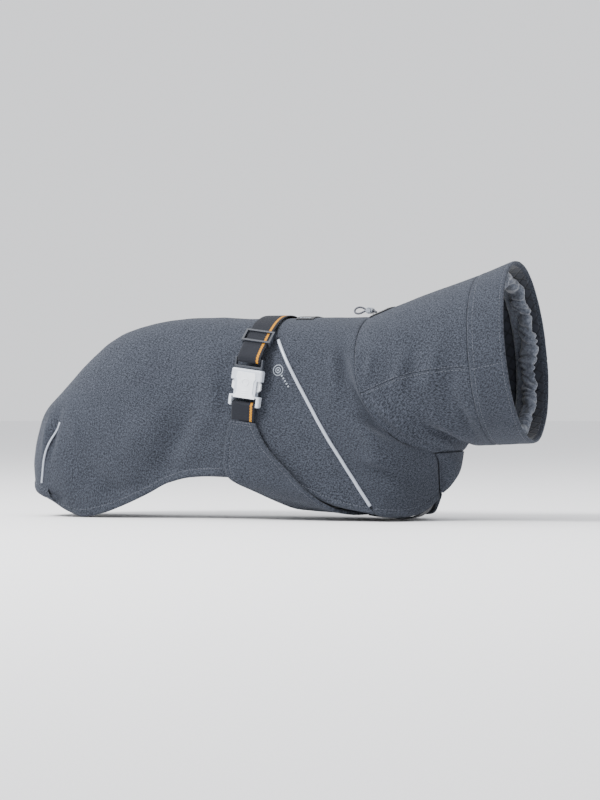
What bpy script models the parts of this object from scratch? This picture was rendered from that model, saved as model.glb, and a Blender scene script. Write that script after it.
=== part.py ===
"""Winter coat for a dog: a domed back, a shoulder yoke, a belly wrap, a tall collar and two side buckles.

Units are metres, written as millimetres times MM.  +X points to the head, +Y to the dog's left and
+Z up.  The origin is on the surface that the coat stands on, under the middle of its length.
Cloth panels are lofts between unlike sections: each is a grid that a surface function places,
with its thickness from Solidify.  The hardware is made for 25 mm webbing.
"""
from dataclasses import dataclass
from math import atan2, cos, pi, radians, sin, sqrt, tan

import bmesh
import bpy
from mathutils import Matrix, Vector

MM = 0.001

# Cloth and lining
CLOTH = 1.2 * MM                 # outer softshell
LINING = 0.9 * MM                # padded lining
PLY_GAP = 0.8 * MM               # between a panel and its lining
SEAM_GAP = 0.8 * MM              # between two panels that are sewn edge to edge
SQUARENESS = 2.6                 # superellipse power of the back's sections
FLANK = 0.3                      # share of a section's height parameter that the flank takes

# Collar rings: top point, bottom point, half width and how far the sides bow back
COLLAR_MID = ((155, 224), (201, 74), 72, 20)
COLLAR_SEAM = ((213, 244), (228, 74.5), 76, 0)
COLLAR_RIM = ((248, 257), (266.4, 77.5), 78, 0)
COLLAR_SPLIT = (0.49, 0.47)      # height of the side seam at the neck and at the rim, 0 to 1

# Webbing and buckle, in the strap's own frame: X across, Y outwards, Z along the strap
WEB_WIDTH = 25.0 * MM
WEB_THICK = 1.4 * MM
WEB_PLAY = 0.3 * MM              # between webbing and the corners of the bar it goes round
SLOT_PLAY = 0.6 * MM             # each side of the webbing in a slot
BUCKLE_X = -10.9 * MM
BUCKLE_Z = 131.6 * MM
BUCKLE_Y = 72.4 * MM             # the buckle's mid plane from the coat's centre plane
STRAP_TILT = radians(7.9)
LEVEL_REACH = 42.0 * MM          # how far from the spine the strap turns level with the back
SOCKET_WIDTH = 32.6 * MM
SOCKET_HEIGHT = 37.5 * MM
SOCKET_THICK = 9.0 * MM
SOCKET_WALL = 1.9 * MM
SHOULDER = 11.3 * MM             # height of the socket's upper shoulders
NOTCH_HEIGHT = 15.3 * MM
NOTCH_DEPTH = 4.8 * MM
BAR = 2.6 * MM                   # thickness of the bars that webbing goes round
FRAME_WIDTH = 30.0 * MM
FRAME_HEIGHT = 11.0 * MM
FRAME_THICK = 5.2 * MM
ARM_THICK = 2.4 * MM
ARM_DEPTH = 3.6 * MM
ARM_LENGTH = 23.0 * MM
RUN = 0.45 * MM                  # clearance of pieces that move past each other
SLIDER_RAIL = 2.2 * MM
SLIDER_HEIGHT = 17.0 * MM
SLIDER_BAR = 2.4 * MM
SLIDER_AT = 0.5                  # place of the slider on the strap's slanting stretch, 0 to 1

# Trim
PIPING_R = 1.5 * MM
PIPING_TOP = 0.672               # height on the back's section where the strap covers the piping
CORD_R = 1.0 * MM
TOGGLE = Vector((95.5, 0, 209.4)) * MM
TOGGLE_R = 3.4 * MM
TOGGLE_CORD = 5.5 * MM           # width of the passage for the two strands of cord
TOGGLE_WELL = 3.8 * MM           # depth of the button's well beside it
TOGGLE_END = 1.3 * MM            # solid end of the barrel
BUTTON_R = 2.2 * MM
BUTTON_PLAY = 0.3 * MM
BUTTON_LENGTH = 3.2 * MM
BUTTON_TRAVEL = 1.2 * MM

COLOURS = {
    "shell": ((0.115, 0.132, 0.168, 1), 0.9, 0.0),
    "lining": ((0.006, 0.007, 0.010, 1), 0.8, 0.0),
    "fleece": ((0.110, 0.127, 0.165, 1), 1.0, 0.0),
    "webbing": ((0.040, 0.046, 0.065, 1), 0.85, 0.0),
    "white_plastic": ((0.75, 0.78, 0.83, 1), 0.35, 0.0),
    "grey_plastic": ((0.07, 0.08, 0.10, 1), 0.4, 0.0),
    "clear_plastic": ((0.80, 0.84, 0.88, 1), 0.15, 0.0),
    "piping": ((0.42, 0.45, 0.50, 1), 0.45, 0.1),
    "label": ((0.01, 0.01, 0.012, 1), 0.7, 0.0),
}


@dataclass(frozen=True)
class Station:
    """One section of the back: its hem and spine points in the centre plane, its widths, in mm."""
    spine: tuple
    hem: tuple
    width: float
    hem_width: float
    mid: float = 0.42            # share of the way from hem to spine where it is widest

    def at(self, height):
        """Point of the section on the dog's left: height runs from 0 at the hem to 1 at the spine."""
        if height < FLANK:
            part = height / FLANK
            share = self.mid * part
            y = self.hem_width + (self.width - self.hem_width) * sin(part * pi / 2)
        else:
            turn = min((height - FLANK) / (1 - FLANK), 1) * pi / 2
            share = self.mid + (1 - self.mid) * sin(turn) ** (2 / SQUARENESS)
            y = self.width * max(cos(turn), 0) ** (2 / SQUARENESS)
        x = self.hem[0] + (self.spine[0] - self.hem[0]) * share
        z = self.hem[1] + (self.spine[1] - self.hem[1]) * share
        return Vector((x, y, z)) * MM


STATIONS = [
    Station((-265, 30), (-241, 17), 46, 44, 0.15),
    Station((-266, 68), (-221, 6), 50, 47, 0.30),
    Station((-256, 108), (-200, -0.1), 54, 50, 0.38),
    Station((-234, 133), (-176, 4), 57, 53),
    Station((-206, 161), (-152, 12), 59, 55),
    Station((-172, 187), (-127, 23), 61, 56),
    Station((-137, 199), (-103, 35), 62, 57),
    Station((-100, 204), (-75, 42), 63, 58),
    Station((-65, 203.5), (-35, 42), 65, 60),
    Station((-33, 202.5), (30, 33), 67, 60),
    Station((-16, 202.5), (76, 15), 68, 60),
    Station((1, 202.5), (120, 6), 69, 58),
    Station((34, 203), (142, 4), 70, 44),
    Station((60, 203.5), (158, 8), 70, 24),
]
YOKE_START = 11                  # the station that the shoulder seam follows
LEFT_RISE = (0, 3, 13, 19, 22, 21, 13, 5, 0)     # how far the left hem is drawn up at each station, mm
LEFT_RISE_REACH = 0.55           # share of the section's height that the rise fades over

# The coat's front edge on the left: up the chest from the hem, then round the neck to the spine
CHEST_EDGE = [(169, 1.5, 20), (171.6, 11, 40)]
NECK_EDGE = [
    (172.6, 30, 66.8), (148, 52, 76), (126, 63, 94), (111, 68, 116.5), (103.5, 69, 138.5),
    (100.5, 66, 158.5), (99, 58, 175), (98.2, 44, 189), (97.8, 24, 199), (97.7, 0, 203),
]
THROAT_EDGE = [(191, 0, 68.3), (185.6, 14, 66.8)]
GUSSET_KEEL = [(191, 0, 68.3), (188, 0, 48), (180, 0, 35), (171.2, 0, 27.5)]
GUSSET_REACH = 0.8               # share of the chest edge that the gusset runs down

# The belly wrap's rear and front edges, from under the belly up to the buckle on the left
WRAP_REAR = [
    (32.6, 0, 8), (19.5, 28, 11), (-10.9, 53, 27.5), (-31.5, 66, 40),
    (-37, 69, 56), (-34.7, 71.5, 78), (-29, 72.8, 99.8),
]
WRAP_FRONT = [
    (97.7, 0, 4), (89, 32, 4.5), (73.8, 57, 9.5), (55.4, 66.5, 23),
    (33.7, 70, 45), (9.8, 72.5, 72), (-3, 72.8, 96.2),
]
BRIDGE = [(98.5, 3.2), (120, 0.9), (140, 0.6), (153, 6), (160.3, 15), (164.9, 27)]
BRIDGE_HALF = (16, 6)            # half width under the belly and at the chest

# The strap's slanting stretch between the buckle and the back, in its own plane: outwards, up
STRAP_SHOULDER = [(73.2, 34), (67.2, 41), (60.4, 47.4), (53.4, 54.2), (45.8, 60.6)]
STRAP_CROWN = [(36.5, 66.4), (24, 71.2), (12, 73.4), (0, 74)]


def spline(points, place):
    """Point at place, 0 to 1, on a Catmull-Rom curve through the points."""
    points = [Vector(p) for p in points]
    last = len(points) - 1
    start = min(int(place * last), last - 1)
    t = place * last - start
    b, c = points[start], points[start + 1]
    a = points[start - 1] if start > 0 else b * 2 - c
    d = points[start + 2] if start + 2 <= last else c * 2 - b
    return (b * 2 + (c - a) * t + (a * 2 - b * 5 + c * 4 - d) * t ** 2
            + (b * 3 - a - c * 3 + d) * t ** 3) / 2


def front_edge(height):
    """Left front edge of the yoke, from the hem at 0 to the spine at 1."""
    return spline(CHEST_EDGE + NECK_EDGE, height) * MM


def mirrored(point, side):
    """The point on the dog's left for side 1, and on its right for side -1."""
    return Vector((point.x, point.y * side, point.z))


def back_surface(place, across):
    """Outer surface of the back: place in stations, across from -1 at the right hem to 1 at the left."""
    side = -1 if across < 0 else 1
    height = 1 - abs(across)
    last = len(STATIONS)
    start = min(int(place), last - 1)
    near = []
    for index in range(start - 1, start + 3):
        if index >= last:
            near.append(front_edge(height))
        else:
            near.append(STATIONS[max(index, 0)].at(height))
            if side > 0 and 0 <= index < len(LEFT_RISE):
                near[-1].z += LEFT_RISE[index] * MM * max(1 - height / LEFT_RISE_REACH, 0) ** 2
    if start == 0:
        near[0] = near[1] * 2 - near[2]
    if start == last - 1:
        near[3] = near[2] * 2 - near[1]
    t = place - start
    a, b, c, d = near
    point = (b * 2 + (c - a) * t + (a * 2 - b * 5 + c * 4 - d) * t ** 2
             + (b * 3 - a - c * 3 + d) * t ** 3) / 2
    return mirrored(point, side)


def collar_ring(ring, height):
    """Left point of a collar ring, from the throat at 0 to the nape at 1."""
    (top_x, top_z), (low_x, low_z), width, bow = ring
    turn = pi * (1 - height)
    x = (top_x + low_x) / 2 + (top_x - low_x) / 2 * cos(turn) - bow * sin(turn) ** 2
    z = (top_z + low_z) / 2 + (top_z - low_z) / 2 * cos(turn)
    return Vector((x, width * max(sin(turn), 0) ** 0.9, z)) * MM


def collar_surface(place, across):
    """Outer surface of the collar: place 0 at the neck, 1 and 2 at the rings, 3 at the rim."""
    side = -1 if across < 0 else 1
    height = 1 - abs(across)
    rings = [
        spline(THROAT_EDGE + NECK_EDGE, height) * MM,
        collar_ring(COLLAR_MID, height),
        collar_ring(COLLAR_SEAM, height),
        collar_ring(COLLAR_RIM, height),
    ]
    point = spline(rings, place / 3)
    if abs(across) >= 1 or height >= 1:
        point.y = 0
    return mirrored(point, side)


def wrap_surface(place, across):
    """Outer surface of the belly wrap: place 0 at its rear edge, 1 at its front edge."""
    side = -1 if across < 0 else 1
    rear = spline(WRAP_REAR, abs(across))
    front = spline(WRAP_FRONT, abs(across))
    return mirrored((rear + (front - rear) * place) * MM, side)


def gusset_surface(place, across):
    """Outer surface of the chest gusset: place 0 at the throat, 1 at the tip."""
    side = -1 if across < 0 else 1
    keel = spline(GUSSET_KEEL, place)
    corner = len(CHEST_EDGE) / (len(CHEST_EDGE) + len(NECK_EDGE) - 1)
    edge = front_edge(corner * (1 - place * GUSSET_REACH)) / MM
    edge.y = max(edge.y - 1.6 * SEAM_GAP / MM, 0.5)
    width = abs(across)
    point = keel + (edge - keel) * width
    point.y = edge.y * sin(width * pi / 2)
    point.x = keel.x + (edge.x - keel.x) * (1 - cos(width * pi / 2))
    return mirrored(point * MM, side)


def bridge_surface(place, across):
    """Lower surface of the strip between the forelegs: place 0 under the belly, 1 at the chest."""
    x, z = spline(BRIDGE, place)
    half = BRIDGE_HALF[0] + (BRIDGE_HALF[1] - BRIDGE_HALF[0]) * place
    return Vector((x, across * half, z)) * MM


def material(name):
    """The named plain material, made once."""
    found = bpy.data.materials.get(name)
    if found:
        return found
    colour, roughness, metallic = COLOURS[name]
    made = bpy.data.materials.new(name)
    made.use_nodes = True
    shader = made.node_tree.nodes["Principled BSDF"]
    shader.inputs["Base Color"].default_value = colour
    shader.inputs["Roughness"].default_value = roughness
    shader.inputs["Metallic"].default_value = metallic
    made.diffuse_color = colour
    return made


def collection(name):
    """A new collection in the scene."""
    made = bpy.data.collections.new(name)
    bpy.context.scene.collection.children.link(made)
    return made


def add_object(name, data, finish, group):
    """Link a new object with one material."""
    made = bpy.data.objects.new(name, data)
    if finish:
        data.materials.append(material(finish))
    group.objects.link(made)
    return made


def from_bmesh(name, bm, finish, group):
    """Turn a bmesh into a named object."""
    mesh = bpy.data.meshes.new(name)
    bm.to_mesh(mesh)
    bm.free()
    return add_object(name, mesh, finish, group)


def panel(name, surface, places, acrosses, counts, finish, group, sunk=0.0, thick=CLOTH, inward=1,
          closed=False):
    """A cloth panel: a grid placed by a surface, sunk below it and given its thickness."""
    bm = bmesh.new()
    bmesh.ops.create_grid(bm, x_segments=counts[0], y_segments=counts[1], size=1)
    for vert in bm.verts:
        share = (vert.co.x + 1) / 2
        low, high = acrosses(share) if callable(acrosses) else acrosses
        place = places[0] + (places[1] - places[0]) * share
        vert.co = surface(place, low + (high - low) * (vert.co.y + 1) / 2)
    if closed:
        bmesh.ops.remove_doubles(bm, verts=bm.verts, dist=0.05 * MM)
    bm.normal_update()
    if inward < 0:
        bmesh.ops.reverse_faces(bm, faces=bm.faces)
        bm.normal_update()
    if sunk:
        for vert in bm.verts:
            vert.co -= vert.normal * sunk
    made = from_bmesh(name, bm, finish, group)
    shell = made.modifiers.new("thickness", "SOLIDIFY")
    shell.thickness = thick
    shell.offset = -1
    return made


def block(name, size, centre, finish, group):
    """An upright block."""
    bm = bmesh.new()
    bmesh.ops.create_cube(bm, size=1, matrix=Matrix.Translation(centre) @ Matrix.Diagonal((*size, 1)))
    return from_bmesh(name, bm, finish, group)


def outline_plate(name, points, thick, finish, group):
    """A plate with that outline in the strap frame's X and Z, centred on its Y."""
    bm = bmesh.new()
    face = bm.faces.new([bm.verts.new((x, -thick / 2, z)) for x, z in points])
    grown = bmesh.ops.extrude_face_region(bm, geom=[face])
    moved = [v for v in grown["geom"] if isinstance(v, bmesh.types.BMVert)]
    bmesh.ops.translate(bm, verts=moved, vec=(0, thick, 0))
    bmesh.ops.recalc_face_normals(bm, faces=bm.faces)
    return from_bmesh(name, bm, finish, group)


def boolean(target, tool, operation):
    """Cut a hidden tool from the target, or join the tool to it."""
    tool.hide_render = True
    tool.display_type = "WIRE"
    change = target.modifiers.new(tool.name, "BOOLEAN")
    change.operation = operation
    change.object = tool
    change.solver = "EXACT"


def round_edges(target, width, segments=2):
    """Bevel the sharp edges of a hard piece."""
    bevel = target.modifiers.new("edges", "BEVEL")
    bevel.width = width
    bevel.segments = segments
    bevel.limit_method = "ANGLE"
    bevel.angle_limit = radians(40)
    bevel.use_clamp_overlap = True


def tube(name, points, radius, finish, group, cyclic=False):
    """A cord or piping along the points, as a poly curve with a round bevel."""
    data = bpy.data.curves.new(name, "CURVE")
    data.dimensions = "3D"
    data.bevel_depth = radius
    data.bevel_resolution = 2
    data.use_fill_caps = not cyclic
    line = data.splines.new("POLY")
    line.points.add(len(points) - 1)
    for dot, point in zip(line.points, points):
        dot.co = (*point, 1)
    line.use_cyclic_u = cyclic
    return add_object(name, data, finish, group)


def ribbon(name, route, finish, group):
    """Webbing of the strap's width along a route of points in the strap frame's YZ plane.

    Near the spine it lies level across the back, although the strap's plane leans.
    """
    bm = bmesh.new()
    bmesh.ops.create_grid(bm, x_segments=1, y_segments=len(route) - 1, size=1)
    for vert in bm.verts:
        index = round((vert.co.y + 1) / 2 * (len(route) - 1))
        y, z = route[index]
        x = vert.co.x * WEB_WIDTH / 2
        level = max(1 - (y / LEVEL_REACH) ** 2, 0)
        vert.co = (x, y, z + x * tan(STRAP_TILT) * level)
    made = from_bmesh(name, bm, finish, group)
    shell = made.modifiers.new("thickness", "SOLIDIFY")
    shell.thickness = WEB_THICK
    shell.offset = 0
    shell.use_even_offset = True
    return made


def strap_frame():
    """The matrix of the strap's plane: its Z leans forwards, its origin is level with the buckle."""
    return Matrix.Translation((BUCKLE_X, 0, BUCKLE_Z)) @ Matrix.Rotation(STRAP_TILT, 4, "Y")


def bar_loop(bar_z, turns_down, tail):
    """Route round a bar on the left buckle, from the inner tail to the outer ply."""
    reach = BAR * sqrt(0.5) + WEB_PLAY + WEB_THICK / 2
    along = 1 if turns_down else -1
    route = [(BUCKLE_Y - reach, bar_z + along * tail)]
    steps = 8
    for step in range(steps + 1):
        turn = pi * step / steps
        route.append((BUCKLE_Y - reach * cos(turn), bar_z - along * reach * sin(turn)))
    return route


def clip_bar_z():
    """Height of the clip's webbing bar in the strap frame."""
    return SOCKET_HEIGHT / 2 + FRAME_HEIGHT - BAR / 2


def socket_bar_z():
    """Height of the socket's webbing bar in the strap frame."""
    return -SOCKET_HEIGHT / 2 + BAR / 2


def strap_half():
    """Left half of the back strap's route, from its sewn tail at the clip to the spine."""
    route = bar_loop(clip_bar_z(), True, 7 * MM)
    shoulder = [Vector((*route[-1], 0)), Vector((*route[-1], 0)) + Vector((0, 2 * MM, 0))]
    points = shoulder + [Vector((y, z, 0)) * MM for y, z in STRAP_SHOULDER + STRAP_CROWN]
    steps = 22
    for step in range(1, steps + 1):
        point = spline(points, step / steps)
        route.append((point.x, point.y))
    return route


def place_in_strap(target, side):
    """Put a piece made for the left buckle in its place, mirrored for the right one."""
    if side < 0:
        target.data.transform(Matrix.Scale(-1, 4, (0, 1, 0)))
        target.data.flip_normals()
    target.matrix_world = strap_frame()


def make_socket(word, side, group, tools):
    """The white female half: an open-topped body with waist notches and a webbing bar."""
    half, top = SOCKET_WIDTH / 2, SOCKET_HEIGHT / 2
    y = BUCKLE_Y
    body = block(f"{word}_socket", (SOCKET_WIDTH, SOCKET_THICK, SOCKET_HEIGHT), (0, y, 0),
                 "white_plastic", group)
    round_edges(body, 1.2 * MM, 1)
    notch_z = top - SHOULDER - NOTCH_HEIGHT / 2
    floor_z = notch_z - NOTCH_HEIGHT / 2
    cavity_top = top + 1 * MM
    cavity = block(f"{word}_socket_cavity",
                   (SOCKET_WIDTH - 2 * SOCKET_WALL, SOCKET_THICK - 2 * SOCKET_WALL, cavity_top - floor_z),
                   (0, y, (cavity_top + floor_z) / 2), None, tools)
    slot_top = floor_z - 1.5 * MM
    slot_low = -top + BAR
    slot = block(f"{word}_socket_slot", (WEB_WIDTH + 2 * SLOT_PLAY, SOCKET_THICK * 2, slot_top - slot_low),
                 (0, y, (slot_top + slot_low) / 2), None, tools)
    cuts = [cavity, slot]
    for end in (-1, 1):
        cuts.append(block(f"{word}_socket_notch_{end + 1}",
                          (2 * NOTCH_DEPTH, SOCKET_THICK * 2, NOTCH_HEIGHT),
                          (end * half, y, notch_z), None, tools))
        cuts.append(block(f"{word}_socket_bar_{end + 1}",
                          (WEB_WIDTH + 2 * SLOT_PLAY, SOCKET_THICK, BAR + 2 * MM),
                          (0, y + end * (SOCKET_THICK / 2 + BAR / 2), -top + BAR / 2), None, tools))
    for tool in cuts:
        place_in_strap(tool, side)
        boolean(body, tool, "DIFFERENCE")
    place_in_strap(body, side)
    return body


def make_clip(word, side, group, tools):
    """The grey male half: a webbing frame and the tongue that guides it in the socket."""
    y, base = BUCKLE_Y, SOCKET_HEIGHT / 2 + RUN
    height = FRAME_HEIGHT - RUN
    body = block(f"{word}_clip", (FRAME_WIDTH, FRAME_THICK, height), (0, y, base + height / 2),
                 "grey_plastic", group)
    window_low = base + 2.6 * MM
    window_top = SOCKET_HEIGHT / 2 + FRAME_HEIGHT - BAR
    window = block(f"{word}_clip_window", (WEB_WIDTH + 2 * SLOT_PLAY, FRAME_THICK * 2, window_top - window_low),
                   (0, y, (window_top + window_low) / 2), None, tools)
    cuts = [window]
    for end in (-1, 1):
        cuts.append(block(f"{word}_clip_bar_{end + 1}",
                          (WEB_WIDTH + 2 * SLOT_PLAY, FRAME_THICK, BAR + 2 * MM),
                          (0, y + end * (FRAME_THICK / 2 + BAR / 2), window_top + BAR / 2 + 1 * MM),
                          None, tools))
    tongue_length = ARM_LENGTH - 4 * MM
    tongue = block(f"{word}_clip_tongue", (6 * MM, ARM_DEPTH, tongue_length + 1 * MM),
                   (0, y, base - tongue_length / 2 + 0.5 * MM), None, tools)
    for tool in cuts:
        place_in_strap(tool, side)
        boolean(body, tool, "DIFFERENCE")
    place_in_strap(tongue, side)
    boolean(body, tongue, "UNION")
    place_in_strap(body, side)
    return body


def arm_pivot(side, end):
    """World place of an arm's living hinge, just under the clip's frame."""
    top = SOCKET_HEIGHT / 2 - 0.6 * MM
    x = end * (SOCKET_WIDTH / 2 - SOCKET_WALL - RUN - ARM_THICK)
    return strap_frame() @ Vector((x, side * BUCKLE_Y, top))


def make_arm(word, side, end, group):
    """A spring arm of the clip, which bows out into the socket's waist notch."""
    label = "front" if end > 0 else "rear"
    outer = SOCKET_WIDTH / 2 - SOCKET_WALL - RUN
    top = SOCKET_HEIGHT / 2
    notch_top = top - SHOULDER
    barb = 1.3 * MM
    points = [
        (outer - ARM_THICK - 0.6 * MM, top), (outer, top), (outer, notch_top - RUN),
        (outer + barb, notch_top - 2.2 * MM), (outer + barb, notch_top - 8.5 * MM),
        (outer - 1.2 * MM, notch_top - 10.6 * MM), (outer - ARM_THICK, notch_top - 10.6 * MM),
        (outer - ARM_THICK, notch_top),
    ]
    made = outline_plate(f"{word}_arm_{label}", [(end * x, z) for x, z in points], ARM_DEPTH,
                         "white_plastic", group)
    made.data.transform(Matrix.Translation((0, BUCKLE_Y, 0)))
    place_in_strap(made, side)
    pivot = arm_pivot(side, end)
    made.data.transform(Matrix.Translation(-(strap_frame().inverted() @ pivot)))
    made.matrix_world = Matrix.Translation(pivot) @ strap_frame().to_3x3().to_4x4()
    return made


def slider_frame(side):
    """The matrix of a slider: its Z lies along the strap's slanting stretch and its Y points out."""
    low, high = Vector(STRAP_SHOULDER[1]) * MM, Vector(STRAP_SHOULDER[-1]) * MM
    run = high - low
    centre = low + run * SLIDER_AT
    lean = atan2(-run.x, run.y)
    local = Matrix.Translation((0, side * centre.x, centre.y)) @ Matrix.Rotation(side * lean, 4, "X")
    return strap_frame() @ local


def make_slider(word, side, group, tools):
    """A three-bar slider: the outer bars lie over the webbing and the middle bar under it."""
    wide = WEB_WIDTH + 2 * SLOT_PLAY
    gap = WEB_THICK / 2 + RUN
    thick = 2 * (gap + SLIDER_BAR * 0.75)
    body = block(f"{word}_slider", (wide + 2 * SLIDER_RAIL, thick, SLIDER_HEIGHT), (0, 0, 0),
                 "grey_plastic", group)
    far = 10 * MM
    clear = SLIDER_HEIGHT - 2 * SLIDER_BAR
    cuts = [
        block(f"{word}_slider_pass", (wide, 2 * gap, SLIDER_HEIGHT * 2), (0, 0, 0), None, tools),
        block(f"{word}_slider_front", (wide, far, clear), (0, side * (far / 2 + gap / 2), 0), None, tools),
    ]
    for end in (-1, 1):
        cuts.append(block(f"{word}_slider_back_{end + 1}", (wide, far, SLIDER_HEIGHT / 2),
                          (0, -side * (far / 2 + gap / 2), end * (SLIDER_HEIGHT / 4 + SLIDER_BAR / 2)),
                          None, tools))
    for tool in cuts:
        tool.matrix_world = slider_frame(side)
        boolean(body, tool, "DIFFERENCE")
    body.matrix_world = slider_frame(side)
    return body


def make_tab(word, side, group):
    """The short webbing tab from the belly wrap's top edge round the socket's bar."""
    route = bar_loop(socket_bar_z(), False, 8 * MM)
    end = Vector(WRAP_REAR[-1]) * 0.5 + Vector(WRAP_FRONT[-1]) * 0.5
    foot = strap_frame().inverted() @ (end * MM)
    outer = route[-1][0]
    low = foot.z + 1.0 * MM
    steps = 4
    for step in range(1, steps + 1):
        share = step / steps
        y = outer + (foot.y - WEB_THICK - outer) * share
        route.append((y, route[9][1] * (1 - share) + low * share))
    made = ribbon(f"{word}_tab", route, "webbing", group)
    place_in_strap(made, side)
    return made


def make_strap(group):
    """The webbing over the back, from the left clip's bar to the right one's."""
    half = strap_half()
    route = half + [(-y, z) for y, z in half[-2::-1]]
    made = ribbon("back_strap", route, "webbing", group)
    made.matrix_world = strap_frame()
    return made


def cross_cylinder(name, radius, low, high, finish, group):
    """A cylinder along Y through the toggle's middle, from low to high."""
    bm = bmesh.new()
    middle = Matrix.Translation(TOGGLE + Vector((0, (low + high) / 2, 0)))
    bmesh.ops.create_cone(bm, cap_ends=True, segments=20, radius1=radius, radius2=radius,
                          depth=high - low, matrix=middle @ Matrix.Rotation(radians(90), 4, "X"))
    return from_bmesh(name, bm, finish, group)


def make_toggle(group, tools):
    """The cord lock at the nape: a clear barrel across the spine with a sprung button in it."""
    mouth = -TOGGLE_CORD / 2 - TOGGLE_WELL
    barrel = cross_cylinder("toggle_barrel", TOGGLE_R, mouth, TOGGLE_CORD / 2 + TOGGLE_END,
                            "clear_plastic", group)
    well = cross_cylinder("toggle_well", BUTTON_R + BUTTON_PLAY, mouth - 1 * MM,
                          -TOGGLE_CORD / 2 - 0.15 * MM, None, tools)
    hole = block("toggle_hole", (TOGGLE_R * 3, TOGGLE_CORD, 2 * CORD_R + 0.8 * MM), TOGGLE, None, tools)
    boolean(barrel, well, "DIFFERENCE")
    boolean(barrel, hole, "DIFFERENCE")
    inner = -TOGGLE_CORD / 2 - 0.15 * MM - BUTTON_PLAY - BUTTON_TRAVEL
    cross_cylinder("toggle_button", BUTTON_R, inner - BUTTON_LENGTH, inner, "clear_plastic", group)


CORD_ROUTE = [
    (101.5, -2.0, 207.7), (99.8, -1.8, 208.8), (98.0, -1.5, 209.3), (95.5, -1.45, 209.4),
    (92.0, -1.55, 209.4), (89.0, -2.4, 208.4), (86.0, -2.6, 207.0), (82.5, -1.9, 206.5),
    (79.6, -0.9, 207.4), (78.5, 0.1, 209.5), (79.7, 1.2, 211.8), (82.5, 1.9, 213.0),
    (86.0, 2.4, 212.6), (89.0, 2.5, 211.0), (92.0, 1.55, 209.4), (95.5, 1.45, 209.4),
    (98.0, 1.5, 209.3), (99.8, 1.8, 208.8), (101.5, 2.0, 207.7),
]


def collar_range(part):
    """Across-range of the collar's upper or lower panel at a share of its length."""
    def limits(share):
        split = COLLAR_SPLIT[0] + (COLLAR_SPLIT[1] - COLLAR_SPLIT[0]) * share
        edge = 1 - split
        return (-edge, edge) if part == "upper" else (edge + 0.004, 2 - edge - 0.004)
    return limits


def collar_turned(place, across):
    """The collar's surface where across runs on over the throat: 1 to 2 is the right side again."""
    return collar_surface(place, across if across <= 1 else across - 2)


def inner_collar_surface(place, across):
    """The gathered inner collar: a ruffled ring that narrows towards its mouth inside the rim."""
    on_ring = collar_surface(2.15 + 0.72 * place, across)
    middle = (collar_surface(2.15 + 0.72 * place, 0) + collar_surface(2.15 + 0.72 * place, 1)) / 2
    gathers = 13
    size = 0.945 - 0.145 * place + 0.022 * place * cos(across * pi * gathers)
    return middle + (on_ring - middle) * size


def make_panels(group):
    """Every cloth panel and its lining."""
    last = len(STATIONS)
    cloth = [
        ("back", (0, YOKE_START), (0, YOKE_START - 0.05), (15, 22)),
        ("yoke", (YOKE_START + 0.02, last), (YOKE_START + 0.05, last), (8, 22)),
    ]
    for word, places, lined, counts in cloth:
        panel(f"{word}_panel", back_surface, places, (-1, 1), counts, "shell", group)
        panel(f"{word}_lining", back_surface, lined, (-1, 1), counts, "lining", group,
              sunk=CLOTH + PLY_GAP, thick=LINING)
    panel("chest_gusset", gusset_surface, (0.03, 1), (-1, 1), (6, 6), "shell", group, inward=-1)
    panel("belly_wrap", wrap_surface, (0, 1), (-1, 1), (4, 24), "shell", group, inward=-1)
    panel("belly_lining", wrap_surface, (0.03, 0.97), (-0.97, 0.97), (4, 24), "lining", group,
          sunk=CLOTH + PLY_GAP, thick=LINING, inward=-1)
    panel("leg_bridge", bridge_surface, (0, 1), (-1, 1), (12, 2), "lining", group, inward=-1,
          thick=CLOTH)
    seam = 2
    panel("collar_upper", collar_surface, (0.03, seam), collar_range("upper"), (6, 10), "shell", group)
    panel("collar_lower", collar_turned, (0.03, seam), collar_range("lower"), (6, 16), "shell", group)
    panel("collar_band", collar_surface, (seam + 0.03, 3), (-1, 1), (2, 28), "shell", group, closed=True)
    panel("collar_lining", collar_surface, (0.2, 2.9), (-1, 1), (6, 28), "lining", group,
          sunk=CLOTH + 2 * PLY_GAP, thick=LINING, closed=True)
    panel("inner_collar", inner_collar_surface, (0, 1), (-1, 1), (3, 54), "fleece", group,
          thick=1.6 * MM, closed=True)


def on_back(place, height, side, lift):
    """A point above the back's surface, lifted along its normal."""
    across = side * (1 - height)
    small = 0.01
    here = back_surface(place, across)
    along = back_surface(place + small, across) - back_surface(place - small, across)
    over = back_surface(place, across + small) - back_surface(place, across - small)
    normal = along.cross(over).normalized()
    if normal.z * 0.2 + normal.y * side < 0:
        normal = -normal
    return here + normal * lift


def make_piping(group):
    """Reflective piping: along both shoulder seams and at both corners of the rump."""
    lift = PIPING_R + 0.35 * MM
    for word, side in (("left", 1), ("right", -1)):
        shoulder = []
        count = 16
        for step in range(count + 1):
            height = 0.03 + (PIPING_TOP - 0.03) * step / count
            shoulder.append(on_back(YOKE_START, height, side, lift))
        tube(f"{word}_shoulder_piping", shoulder, PIPING_R, "piping", group)
        rump = []
        count = 12
        for step in range(count + 1):
            share = step / count
            rump.append(on_back(2.75 - 2.0 * share, 0.53 - 0.13 * share, side, lift * 0.75))
        tube(f"{word}_rump_piping", rump, PIPING_R * 0.7, "piping", group)


def lifted(surface, lift):
    """The same surface raised by a height in Z, for a patch near the spine."""
    return lambda place, across: surface(place, across) + Vector((0, 0, lift))


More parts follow.
